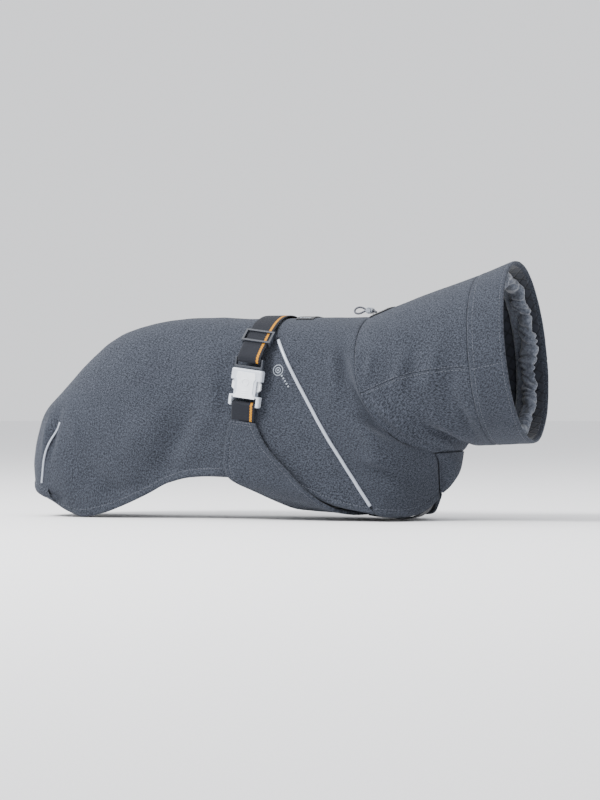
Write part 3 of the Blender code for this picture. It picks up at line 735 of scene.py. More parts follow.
@dataclass
class Panel:
    """A cloth panel woven on a surface: a fine grid with relief, turned to a thickness."""
    name: str
    surface: Surface
    places: Sequence[float]
    rows: Sequence[float]            # shares of the across range
    span: Callable[[float], tuple[float, float]] = lambda share: (-1.0, 1.0)
    relief: Relief = lambda spot: 0.0
    sunk: float = 0.0
    thick: float = CLOTH
    turned: bool = False             # the grid's faces point inwards before they are turned
    closed: bool = False
    skin: BVHTree | None = field(default=None, init=False)
    size: tuple[float, float, float] = field(default=(0, 0, 0), init=False)

    def weave(self) -> bpy.types.Object:
        """Place the grid, raise its relief along the normals, map the cloth and thicken it."""
        wide, tall = len(self.places) - 1, len(self.rows) - 1
        bm = bmesh.new()
        bmesh.ops.create_grid(bm, x_segments=wide, y_segments=tall, size=1)
        where: dict[int, tuple[int, int]] = {}
        grid: dict[tuple[int, int], bmesh.types.BMVert] = {}
        tag = bm.verts.layers.int.new("cell")
        cloth = bm.loops.layers.uv.new("weave")
        params: dict[tuple[int, int], tuple[float, float]] = {}
        for vert in bm.verts:
            i, j = round((vert.co.x + 1) / 2 * wide), round((vert.co.y + 1) / 2 * tall)
            low, high = self.span((self.places[i] - self.places[0]) / (self.places[-1] - self.places[0]))
            params[i, j] = (self.places[i], low + (high - low) * self.rows[j])
            vert.co = self.surface(*params[i, j])
            vert[tag] = i * (tall + 1) + j
            where[vert[tag]] = (i, j)
            grid[i, j] = vert
        along = {(i, j): 0.0 for i, j in grid}
        over = dict(along)
        for i in range(wide + 1):
            for j in range(tall + 1):
                if i:
                    along[i, j] = along[i - 1, j] + (grid[i, j].co - grid[i - 1, j].co).length
                if j:
                    over[i, j] = over[i, j - 1] + (grid[i, j].co - grid[i, j - 1].co).length
        middle = tall // 2
        for face in bm.faces:
            for loop in face.loops:
                i, j = where[loop.vert[tag]]
                loop[cloth].uv = (along[i, middle] * 0.5 + along[i, j] * 0.5, over[i, j] - over[i, middle])
        spots = {
            i * (tall + 1) + j: Spot(*params[i, j], along[i, j], along[wide, j] - along[i, j], over[i, j],
                                     over[i, tall] - over[i, j], grid[i, j].co.copy())
            for i, j in grid
        }
        area = sum(face.calc_area() for face in bm.faces)
        length, girth = max(along.values()), max(over.values())
        self.size = (max(girth, 0.01), max(length, 0.01), min(area, girth * length))
        if self.closed:
            bmesh.ops.remove_doubles(bm, verts=bm.verts, dist=0.02 * MM)
        bm.normal_update()
        if self.turned:
            bmesh.ops.reverse_faces(bm, faces=bm.faces)
            bm.normal_update()
        moves = [(vert, vert.normal * (self.relief(spots[vert[tag]]) - self.sunk)) for vert in bm.verts]
        for vert, move in moves:
            vert.co += move
        bm.normal_update()
        self.skin = BVHTree.FromBMesh(bm)
        made = as_object(self.name, bm)
        shell = made.modifiers.new("thickness", "SOLIDIFY")
        shell.thickness = self.thick
        shell.offset = -1
        return made

    def sew(self, finish: Finish, node: str) -> None:
        """Args:
            finish: its finish.
            node: the CAD node that it stands for.
        """
        made = self.weave()
        finish_piece(made, finish, [node])


@dataclass(frozen=True)
class Way:
    """One step of a route: its point, the direction beside it, the direction off the coat, its run."""
    point: Vector
    beside: Vector
    off: Vector
    run: float


def route_on(surface: Surface, dots: Sequence[tuple[float, float]], skin: BVHTree) -> list[Way]:
    """A route over woven cloth.

    Args:
        surface: the cloth's surface.
        dots: its place and across pairs.
        skin: the woven cloth that the route settles on.

    Returns:
        The steps.
    """
    offs = [FORM.outward(surface, *dot) for dot in dots]
    return ways([skin.find_nearest(surface(*dot))[0] for dot in dots], offs)


def ways(points: Sequence[Vector], offs: Sequence[Vector]) -> list[Way]:
    """Steps through points with the directions off the coat given."""
    made, run = [], 0.0
    for index, point in enumerate(points):
        ahead = (points[min(index + 1, len(points) - 1)] - points[max(index - 1, 0)]).normalized()
        if index:
            run += (point - points[index - 1]).length
        beside = ahead.cross(offs[index]).normalized()
        made.append(Way(point, beside, beside.cross(ahead).normalized(), run))
    return made


def sweep(name: str, steps: Sequence[Way], profile: Callable[[float, float], tuple[float, float]],
          sides: int, tube: bool, cyclic: bool = False) -> bpy.types.Object:
    """Sweep a profile along a route.

    Args:
        name: the object's name.
        steps: the route.
        profile: takes the run and a share of the profile, and gives offsets beside and off the coat.
        sides: steps round the profile.
        tube: whether the profile closes.
        cyclic: whether the route closes.

    Returns:
        The object.
    """
    bm = bmesh.new()
    wide = len(steps) if cyclic else len(steps) - 1
    bmesh.ops.create_grid(bm, x_segments=wide, y_segments=sides, size=1)
    cloth = bm.loops.layers.uv.new("weave")
    flat: dict[int, tuple[float, float]] = {}
    bm.verts.index_update()
    for vert in bm.verts:
        i, j = round((vert.co.x + 1) / 2 * wide), round((vert.co.y + 1) / 2 * sides)
        step = steps[i % len(steps)]
        beside, off = profile(step.run, j / sides)
        flat[vert.index] = (step.run + (1.5 * MM if i == len(steps) else 0), beside)
        vert.co = step.point + step.beside * beside + step.off * off
    for face in bm.faces:
        for loop in face.loops:
            loop[cloth].uv = flat[loop.vert.index]
    if tube or cyclic:
        bmesh.ops.remove_doubles(bm, verts=bm.verts, dist=0.003 * MM)
    if tube and not cyclic:
        bmesh.ops.holes_fill(bm, edges=[e for e in bm.edges if e.is_boundary], sides=0)
    if tube:
        bmesh.ops.recalc_face_normals(bm, faces=bm.faces)
    return as_object(name, bm)


def oval(width: float, height: float, power: float = 1.0) -> Callable[[float, float], tuple[float, float]]:
    """An oval or, with a lower power, a squarer profile of that width and height."""
    def profile(run: float, share: float) -> tuple[float, float]:
        turn = share * 2 * pi
        c, s = cos(turn), sin(turn)
        return (width / 2 * abs(c) ** power * (1 if c > 0 else -1),
                height / 2 * abs(s) ** power * (1 if s > 0 else -1))
    return profile


def evenly(points: Sequence[Vector], pitch: float, soften: int = 0) -> list[Vector]:
    """Points an even pitch apart along a broken line.

    Args:
        points: the line.
        pitch: the distance wanted.
        soften: how many times each inner point moves halfway to its neighbours' middle.

    Returns:
        The points.
    """
    runs = [0.0]
    for a, b in zip(points, points[1:]):
        runs.append(runs[-1] + (b - a).length)
    count = max(round(runs[-1] / pitch), 2)
    made, index = [], 0
    for step in range(count + 1):
        goal = runs[-1] * step / count
        while index < len(runs) - 2 and runs[index + 1] < goal:
            index += 1
        part = (goal - runs[index]) / max(runs[index + 1] - runs[index], 1e-9)
        made.append(points[index].lerp(points[index + 1], min(part, 1)))
    for _ in range(soften):
        inner = [(a + b * 2 + c) / 4 for a, b, c in zip(made, made[1:], made[2:])]
        made = [made[0], *inner, made[-1]]
    return made


class Stitcher:
    """Rows of lock stitches, gathered in one mesh."""
    pitch = 3.3 * MM
    length = 2.5 * MM
    breadth = 0.62 * MM

    def __init__(self, name: str) -> None:
        """Start an empty mesh of that name."""
        self.name = name
        self.bm = bmesh.new()

    def row(self, skin: BVHTree, points: Sequence[Vector], lift: float = 0.08 * MM) -> None:
        """Sew along a line.

        Args:
            skin: the cloth that the row lies on.
            points: the line, which is moved to the cloth.
            lift: height of a stitch's middle over the cloth.
        """
        line = evenly(points, self.pitch)
        for a, b in zip(line, line[1:]):
            spot, normal, _, _ = skin.find_nearest((a + b) / 2)
            ahead = (b - a).normalized()
            beside = normal.cross(ahead).normalized()
            ahead = beside.cross(normal)
            turn = Matrix((ahead, beside, normal)).transposed().to_4x4()
            size = Matrix.Diagonal((self.length / 2, self.breadth / 2, self.breadth * 0.4, 1))
            bmesh.ops.create_uvsphere(self.bm, u_segments=6, v_segments=4, radius=1,
                                      matrix=Matrix.Translation(spot + normal * lift) @ turn @ size)

    def finish(self, thread: Finish, slot: str = "shell") -> None:
        """Make the rows one piece."""
        finish_piece(as_object(self.name, self.bm), thread)


# ---------------------------------------------------------------- the strap's own plane

@dataclass(frozen=True)
class StrapPlane:
    """Sizes and routes of the webbing, in a leaning plane: Y outwards, Z along the strap."""
    width: float = 25 * MM
    thick: float = 1.4 * MM
    play: float = 0.3 * MM
    bar: float = 2.6 * MM
    origin: tuple[float, float, float] = (-10.9 * MM, 0, 131.6 * MM)
    buckle_y: float = 72.4 * MM
    tilt: float = radians(7.9)
    level_reach: float = 42 * MM
    socket_height: float = 37.5 * MM
    socket_thick: float = 9.0 * MM
    frame_height: float = 11.0 * MM
    shoulder: tuple = ((73.2, 34), (67.2, 41), (60.4, 47.4), (53.4, 54.2), (45.8, 60.6))
    crown: tuple = ((36.5, 66.4), (24, 71.2), (12, 73.4), (0, 74))

    @property
    def matrix(self) -> Matrix:
        """The plane's place on the coat."""
        return Matrix.Translation(self.origin) @ Matrix.Rotation(self.tilt, 4, "Y")

    def bar_loop(self, bar_z: float, turns_down: bool, tail: float) -> list[tuple[float, float]]:
        """Route round a bar of the left buckle, from the inner tail to the outer ply."""
        reach = self.bar * sqrt(0.5) + self.play + self.thick / 2
        along = 1 if turns_down else -1
        route = [(self.buckle_y - reach, bar_z + along * tail)]
        for step in range(17):
            turn = pi * step / 16
            route.append((self.buckle_y - reach * cos(turn), bar_z - along * reach * sin(turn)))
        return route

    def strap_half(self) -> list[tuple[float, float]]:
        """Left half of the back strap, from its sewn tail at the clip to the spine."""
        route = self.bar_loop(self.socket_height / 2 + self.frame_height - self.bar / 2, True, 7 * MM)
        top = Vector((*route[-1], 0))
        points = [top, top + Vector((0, 2 * MM, 0))]
        points += [Vector((y, z, 0)) * MM for y, z in self.shoulder + self.crown]
        for step in range(1, 89):
            point = spline(points, step / 88)
            route.append((point.x, point.y))
        return route

    def tab(self) -> list[tuple[float, float]]:
        """The left tab, from its sewn tail round the socket's bar to the belly wrap."""
        route = self.bar_loop(-self.socket_height / 2 + self.bar / 2, False, 8 * MM)
        end = Vector(FORM.wrap_rear[-1]) * 0.5 + Vector(FORM.wrap_front[-1]) * 0.5
        foot = self.matrix.inverted() @ (end * MM)
        outer, start = route[-1]
        for step in range(1, 9):
            share = step / 8
            route.append((outer + (foot.y - self.thick - outer) * share,
                          start * (1 - share) + (foot.z + 1.0 * MM) * share))
        return route

    def steps(self, route: Sequence[tuple[float, float]], side: Side) -> list[Way]:
        """The route's steps on the coat, with `beside` towards the head."""
        points = evenly([Vector((0, y * side.value, z)) for y, z in route], 0.36 * MM, 3)
        turn = self.matrix.to_3x3()
        made, run = [], 0.0
        for index, point in enumerate(points):
            ahead = (points[min(index + 1, len(points) - 1)] - points[max(index - 1, 0)]).normalized()
            level = max(1 - (point.y / self.level_reach) ** 2, 0)
            beside = Vector((1, 0, tan(self.tilt) * level))
            if index:
                run += (point - points[index - 1]).length
            off = ahead.cross(beside).normalized()
            made.append(Way(self.matrix @ point, turn @ beside, turn @ off, run))
        return made

    def near(self, point: Vector) -> float:
        """How much a point of the cloth is clear of the strap and buckle: 0 under them, 1 away."""
        local = self.matrix.inverted() @ point
        if local.z < -30 * MM:
            return 1.0
        return max(min((abs(local.x) - 17 * MM) / (16 * MM), 1), 0)


PLANE = StrapPlane()
HEM = 8 * MM                         # from a turned hem's edge to its stitches


def body_slack(point: Vector) -> float:
    """Folds and unevenness that the back, the yoke and all that is sewn on them share."""
    strap = PLANE.near(point)
    wrapped = 1.0
    if -48 * MM < point.x < 102 * MM and point.z < 112 * MM:
        wrapped = max(0.2, min(1, max((point.z - 92 * MM) / (20 * MM), (-34 * MM - point.x) / (14 * MM),
                                      (point.x - (88 * MM - point.z * 0.62)) / (22 * MM))))
    ease = strap * wrapped
    loose = drape(point, 2.4 * MM, 0.5 * MM) + FOLD_DEPTH * folds_at(BodyShell.folds, point)
    return loose * ease - 0.35 * MM * (1 - strap)


TURNED_HEM = ((0.15, 0.0), (-0.45, -0.25), (-0.75, -1.1), (-0.75, -2.2), (-0.35, -3.1), (0.6, -3.45), (3, -3.55),
              (6.5, -3.55), (10.5, -3.5))


def turned_hem(name: str, steps: Sequence[Way], cyclic: bool = False, depth: float = 1.0) -> bpy.types.Object:
    """The cloth's edge, folded in over the lining: it follows a route round the edge.

    Args:
        name: the piece's name.
        steps: the edge, with the panel on the other side of `beside`.
        cyclic: whether the edge closes.
        depth: scales how far inside the fold lies.

    Returns:
        The piece.
    """
    count = len(TURNED_HEM) - 1

    def profile(run: float, share: float) -> tuple[float, float]:
        inset, off = TURNED_HEM[round(share * count)]
        return -inset * MM, off * MM * depth

    made = sweep(name, steps, profile, count, False, cyclic)
    shell = made.modifiers.new("thickness", "SOLIDIFY")
    shell.thickness = 0.45 * MM
    shell.offset = 0
    return made


@dataclass
class BodyShell:
    """Back and shoulder yoke: outer cloth, quilted lining and turned hem."""
    seam: float = 11.0
    stitches: Stitcher = field(default_factory=lambda: Stitcher("body_stitches"))
    folds = (
        Fold((-70, 104), (-122, 34), 15, -2.6), Fold((-52, 118), (-86, 66), 12, 1.4),
        Fold((-96, 120), (-150, 62), 16, 1.4), Fold((-40, 60), (-104, 46), 8, -1.2),
        Fold((-205, 60), (-150, 14), 12, -1.4), Fold((-176, 24), (-128, 34), 7, -1.0),
        Fold((-228, 108), (-236, 60), 4.5, -1.6), Fold((-240, 104), (-246, 58), 4, 0.9),
        Fold((-216, 112), (-200, 74), 8, 0.8), Fold((-60, 170), (-44, 110), 13, 0.9),
        Fold((-150, 160), (-120, 110), 18, 0.9), Fold((-40, 150), (-36, 96), 6, -1.0),
        Fold((106, 104), (139, 84), 6, -2.2), Fold((101, 96), (128, 78), 6, 1.3),
        Fold((112, 52), (146, 44), 5.5, -1.4), Fold((106, 62), (140, 56), 5, 1.0),
        Fold((84, 168), (92, 132), 6, -1.2), Fold((76, 166), (84, 120), 7, 0.9),
        Fold((60, 34), (112, 14), 6, -0.9), Fold((118, 36), (150, 22), 5, 0.9),
        Fold((30, 120), (66, 60), 10, -0.8), Fold((60, 150), (96, 92), 9, 0.7),
    )

    def _relief(self, spot: Spot) -> float:
        """Turned hem along the sides and the rump, and the roll at the shoulder seam."""
        at_rump = spot.rear < spot.side and spot.place < self.seam and self._has_rump
        edge = min(spot.rear, spot.side) if self._has_rump else spot.side
        along = spot.left if at_rump else spot.rear
        lift = rolled(edge) + groove(edge, HEM, 1.1 * MM, 0.55 * MM) + pucker(along, edge, HEM)
        lift += 0.4 * MM * max(min((HEM - edge) / MM, 1), 0)
        seam = spot.front if self._has_rump else spot.rear
        lift += rolled(seam, 3 * MM, 1.1 * MM)
        if not self._has_rump:
            lift += rolled(spot.front, 2.6 * MM, 0.8 * MM)
            return lift + body_slack(spot.point) * min(spot.front / (11 * MM), 1)
        return lift + body_slack(spot.point)

    def _cloth(self, word: str, start: float, end: float, middle: int, reach: float, rump: bool) -> Panel:
        """Weave one outer panel."""
        self._has_rump = rump
        panel = Panel(f"{word}_cloth", FORM.back, graded(start, end, middle, 10, reach),
                      graded(0, 1, 150, 11, 0.024), relief=self._relief)
        panel.sew(SHELL, f"{word}_panel")
        first, last = (start, end - 0.05) if rump else (start + 0.03, end)
        lined = Panel(f"{word}_quilt", FORM.back, graded(first, last, middle // 2, 4, reach),
                      graded(0, 1, 76, 5, 0.024), relief=self._relief, sunk=CLOTH + PLY_GAP, thick=LINING)
        lined.sew(LINED, f"{word}_lining")
        return panel

    def build(self) -> dict[str, BVHTree]:
        """Weave the panels, turn the hem and sew it.

        Returns:
            The woven cloth of the back and of the yoke.
        """
        back = self._cloth("back", 0.0, self.seam, 120, 0.3, True)
        yoke = self._cloth("yoke", self.seam, float(FORM.last), 30, 0.35, False)
        skins = {"back": back.skin, "yoke": yoke.skin}
        places = [FORM.last * step / 170 for step in range(171)]
        seam = self.seam
        runs = (
            ("back_hem_left", "back", [(p, 1.0) for p in reversed(places) if 0.06 < p <= seam]),
            ("back_hem_rump", "back", [(0.0, 0.99 - 1.98 * step / 120) for step in range(121)]),
            ("back_hem_right", "back", [(p, -1.0) for p in places if 0.06 < p <= seam]),
            ("yoke_hem_left", "yoke", [(p, 1.0) for p in reversed(places) if p >= seam]),
            ("yoke_hem_right", "yoke", [(p, -1.0) for p in places if p >= seam]),
        )
        for name, word, dots in runs:
            finish_piece(turned_hem(name, route_on(FORM.back, dots, skins[word])), SHELL)
        for side in Side:
            for word, low, high in (("back", 0.25, self.seam - 0.1), ("yoke", self.seam + 0.1, FORM.last - 0.2)):
                line = []
                for step in range(141):
                    place = low + (high - low) * step / 140
                    speed = (FORM.back(place, side.value) - FORM.back(place, side.value * 0.98)).length / 0.02
                    line.append(FORM.back(place, side.value * (1 - HEM / speed)))
                self.stitches.row(skins[word], line)
        rump = []
        for step in range(121):
            across = 0.965 - 1.93 * step / 120
            speed = (FORM.back(0.2, across) - FORM.back(0.0, across)).length / 0.2
            rump.append(FORM.back(HEM / speed, across))
        self.stitches.row(skins["back"], rump)
        self.stitches.finish(SEAM_THREAD)
        return skins


@dataclass
class ChestAndBelly:
    """Chest gusset, belly wrap with its lining, and the strip between the forelegs."""
    inset: float = 6.5 * MM
    stitches: Stitcher = field(default_factory=lambda: Stitcher("belly_stitches"))
    folds = (
        Fold((-20, 70), (-22, 40), 6, 0.8), Fold((4, 60), (40, 30), 7, -0.9), Fold((-12, 52), (22, 30), 6, 0.8),
        Fold((10, 34), (60, 14), 6, -1.0), Fold((176, 58), (184, 40), 4, 0.8),
    )

    def _wrap_relief(self, spot: Spot) -> float:
        """Turned edges along both sides, the sewn top, and slack between them."""
        edge = min(spot.rear, spot.front)
        lift = rolled(edge) + groove(edge, self.inset, 1.0 * MM, 0.5 * MM)
        lift += pucker(spot.left, edge, self.inset) + 0.3 * MM * max(min((self.inset - edge) / MM, 1), 0)
        lift += rolled(spot.side) + groove(spot.side, 4 * MM)
        slack = min(edge / (9 * MM), 1) * min(spot.side / (12 * MM), 1)
        return lift + (drape(spot.point, 0.9 * MM, 0.35 * MM) + 0.3 * MM + folds_at(self.folds, spot.point)) * slack

    def _gusset_relief(self, spot: Spot) -> float:
        """Rolls in at the two chest seams."""
        return rolled(spot.side, 2.5 * MM, 0.7 * MM) + drape(spot.point, 0.7 * MM, 0.3 * MM)

    def build(self) -> None:
        """Weave and sew the pieces."""
        wrap = Panel("belly_wrap_cloth", FORM.wrap, graded(0, 1, 26, 9, 0.13), graded(0, 1, 150, 8, 0.016),
                     relief=self._wrap_relief, turned=True)
        wrap.sew(SHELL, "belly_wrap")
        lined = Panel("belly_wrap_quilt", FORM.wrap, graded(0.03, 0.97, 18, 4, 0.1), graded(0, 1, 90, 3, 0.02),
                      span=lambda share: (-0.97, 0.97), relief=self._wrap_relief, sunk=CLOTH + PLY_GAP,
                      thick=LINING, turned=True)
        lined.sew(LINED, "belly_lining")
        dots = [-1 + 2 * step / 220 for step in range(221)]
        for word, place, order in (("rear", 0.0, dots), ("front", 1.0, dots[::-1])):
            steps = route_on(FORM.wrap, [(place, across) for across in order], wrap.skin)
            finish_piece(turned_hem(f"wrap_hem_{word}", steps, depth=0.86), SHELL)
            line = []
            for across in order[2:-2]:
                wide = (FORM.wrap(1, across) - FORM.wrap(0, across)).length
                share = self.inset / wide
                line.append(FORM.wrap(share if place == 0 else 1 - share, across))
            self.stitches.row(wrap.skin, line)
        for side in Side:
            for rise in (0.988, 0.972):
                top = [FORM.wrap(0.12 + 0.76 * step / 8, side.value * rise) for step in range(9)]
                self.stitches.row(wrap.skin, top)
        gusset = Panel("chest_gusset_cloth", FORM.gusset, graded(0, 1, 22, 4, 0.08), graded(0, 1, 26, 5, 0.08),
                       relief=self._gusset_relief, turned=True)
        gusset.sew(SHELL, "chest_gusset")
        for side in Side:
            seam = [FORM.gusset(0.06 + 0.88 * step / 20, side.value * 0.86) for step in range(21)]
            self.stitches.row(gusset.skin, seam)
        strip = Panel("leg_bridge_cloth", FORM.bridge, graded(0, 1, 40, 4, 0.05), graded(0, 1, 12, 4, 0.12),
                      relief=lambda spot: rolled(spot.side, 2 * MM, 0.5 * MM) + drape(spot.point, 0.3 * MM, 0.2 * MM),
                      turned=True)
        strip.sew(LINED, "leg_bridge")
        self.stitches.finish(SEAM_THREAD)


@dataclass
class Collar:
    """Tall collar: two lofted panels, a band with a turned rim, its lining and the gathered ring."""
    rim_inset: float = 3.0 * MM
    ring_radius: float = 6.2 * MM
    ring_place: float = 0.55
    stitches: Stitcher = field(default_factory=lambda: Stitcher("collar_stitches"))
    folds = (
        Fold((122, 116), (158, 82), 6, 1.9), Fold((118, 106), (150, 78), 3.5, -1.2),
        Fold((176, 88), (203, 72), 4.5, -3.0), Fold((168, 92), (192, 76), 4, 1.5),
        Fold((178, 106), (208, 80), 6.5, 1.8), Fold((160, 100), (186, 82), 4, -1.4),
        Fold((190, 172), (178, 128), 7, 1.2), Fold((153, 164), (146, 132), 6, 1.1),
        Fold((166, 170), (160, 128), 6, -1.0), Fold((204, 150), (196, 106), 7, -1.1),
        Fold((120, 170), (116, 140), 5, 0.9), Fold((206, 118), (216, 84), 5, -1.3),
        Fold((132, 196), (160, 178), 7, 0.8), Fold((228, 150), (232, 110), 7, 0.7),
    )

    def slack(self, point: Vector) -> float:
        """Folds and unevenness that the collar's plies share."""
        ease = max(min((232 * MM - point.z) / (30 * MM), 1), 0.3)
        loose = drape(point + Vector((0.4, 0, 0)), 2.0 * MM, 0.55 * MM) * ease
        return loose + FOLD_DEPTH * folds_at(self.folds, point)

    def _neck_relief(self, spot: Spot) -> float:
        """Rolls in at the neck, the band seam and the side seams."""
        lift = rolled(spot.rear, 2.6 * MM, 0.8 * MM) + rolled(spot.front, 2.2 * MM, 0.8 * MM)
        lift += rolled(spot.side, 1.5 * MM, 0.55 * MM) + pucker(spot.rear, spot.side, 0, 8 * MM, 0.2 * MM)
        lift += pucker(spot.left, spot.rear, 2 * MM, 9 * MM, 0.3 * MM)
        return lift + self.slack(spot.point) * min(spot.rear / (11 * MM), 1)

    def _band_relief(self, spot: Spot) -> float:
        """Rolls in at the seam and the rim, with a stitched edge."""
        lift = rolled(spot.rear, 2.2 * MM, 0.8 * MM) + rolled(spot.front, 1.6 * MM, 0.6 * MM)
        split = 1 - FORM.collar_split[1]
        lift += groove(abs(abs(spot.across) - split) * 210 * MM, 0, 0.9 * MM, 0.7 * MM)
        lift += groove(spot.front, self.rim_inset, 0.8 * MM, 0.35 * MM)
        return lift + pucker(spot.left, spot.front, self.rim_inset, 6 * MM, 0.1 * MM) + self.slack(spot.point)

    def _span(self, part: str) -> Callable[[float], tuple[float, float]]:
        """Across range of the upper or the lower panel at a share of its length."""
        def limits(share: float) -> tuple[float, float]:
            near, rim = FORM.collar_split
            edge = 1 - (near + (rim - near) * share)
            return (-edge, edge) if part == "upper" else (edge, 2 - edge)
        return limits

    def build(self) -> None:
        """Weave, sew and gather the collar."""
        skins = {}
        for part, rows in (("upper", graded(0, 1, 74, 8, 0.03)), ("lower", graded(0, 1, 96, 8, 0.03))):
            panel = Panel(f"collar_{part}_cloth", FORM.collar, graded(0, 2, 44, 8, 0.12), rows,
                          span=self._span(part), relief=self._neck_relief)
            panel.sew(SHELL, f"collar_{part}")
            skins[part] = panel.skin
        ring = [step / 264 for step in range(265)]
        band = Panel("collar_band_cloth", FORM.collar, graded(2, 3, 12, 8, 0.12), ring,
                     relief=self._band_relief, closed=True)
        band.sew(SHELL, "collar_band")
        lined = Panel("collar_quilt", FORM.collar, graded(0.2, 2.9, 40, 3, 0.1), [step / 150 for step in range(151)],
                      relief=lambda spot: self.slack(spot.point), sunk=CLOTH + 2 * PLY_GAP, thick=LINING, closed=True)
        lined.sew(LINED, "collar_lining")
        rim = route_on(FORM.collar, [(3.0, -1 + 2 * step / 264) for step in range(264)], band.skin)
        finish_piece(turned_hem("collar_rim_hem", rim, cyclic=True, depth=0.8), SHELL)
        self._sew(skins, band.skin)
        self._gather()

    def _sew(self, skins: dict[str, BVHTree], band: BVHTree) -> None:
        """Topstitch the rim, the band seam and the side seams."""
        turns = [-1 + 2 * step / 200 for step in range(201)]
        length = 36 * MM
        self.stitches.row(band, [FORM.collar(3 - self.rim_inset / length, across) for across in turns])
        self.stitches.row(band, [FORM.collar(2.03 + 3.4 * MM / length, across) for across in turns])
        span = self._span("upper")
        for side in Side:
            for part, shift in (("upper", -0.007), ("lower", 0.008)):
                line = []
                for step in range(41):
                    place = 0.10 + 1.84 * step / 40
                    line.append(FORM.collar(place, side.value * (span(place / 2)[1] + shift)))
                self.stitches.row(skins[part], line)
            line = []
            for step in range(11):
                place = 2.06 + 0.86 * step / 10
                line.append(FORM.collar(place, side.value * (1 - FORM.collar_split[1] + 0.010)))
            self.stitches.row(band, line)
        self.stitches.finish(SEAM_THREAD)

    def _gather(self) -> None:
        """The inner collar and the scrunched ring at its mouth."""
        def ruffle(spot: Spot) -> float:
            wave = sin(spot.across * pi * 31 + 5 * noise.noise(spot.point * 40))
            lift = 1.3 * MM * wave * spot.place + noise.noise(spot.point * 90) * 0.9 * MM
            return lift * min(spot.rear / (6 * MM), 1)

        tube = Panel("gathered_collar_cloth", FORM.gathered, [0.66 * step / 12 for step in range(13)],
                     [step / 300 for step in range(301)], relief=ruffle, thick=1.4 * MM, closed=True)
        tube.sew(FLEECE, "inner_collar")
        dots = [-1 + 2 * step / 420 for step in range(420)]
        points = [FORM.gathered(self.ring_place, across) for across in dots]
        offs = [FORM.outward(FORM.gathered, self.ring_place, across) for across in dots]
        around = ways(points, offs)
        radius = self.ring_radius
        ring = sweep("gathered_ring", around, oval(2.5 * radius, 1.7 * radius), 24, True, True)
        middle = sum(points, Vector()) / len(points)
        moves = []
        for vert in ring.data.vertices:
            spot = vert.co
            turn = atan2(spot.y, spot.z - middle.z)
            lump = noise.noise(spot * 58)
            crease = abs(sin(turn * 23 + 6.0 * noise.noise(spot * 40)))
            moves.append(vert.normal * ((lump * 4.2 + (crease - 0.6) * 3.0 + noise.noise(spot * 190) * 1.3) * MM))
        for vert, move in zip(ring.data.vertices, moves):
            vert.co += move
        finish_piece(ring, FLEECE)


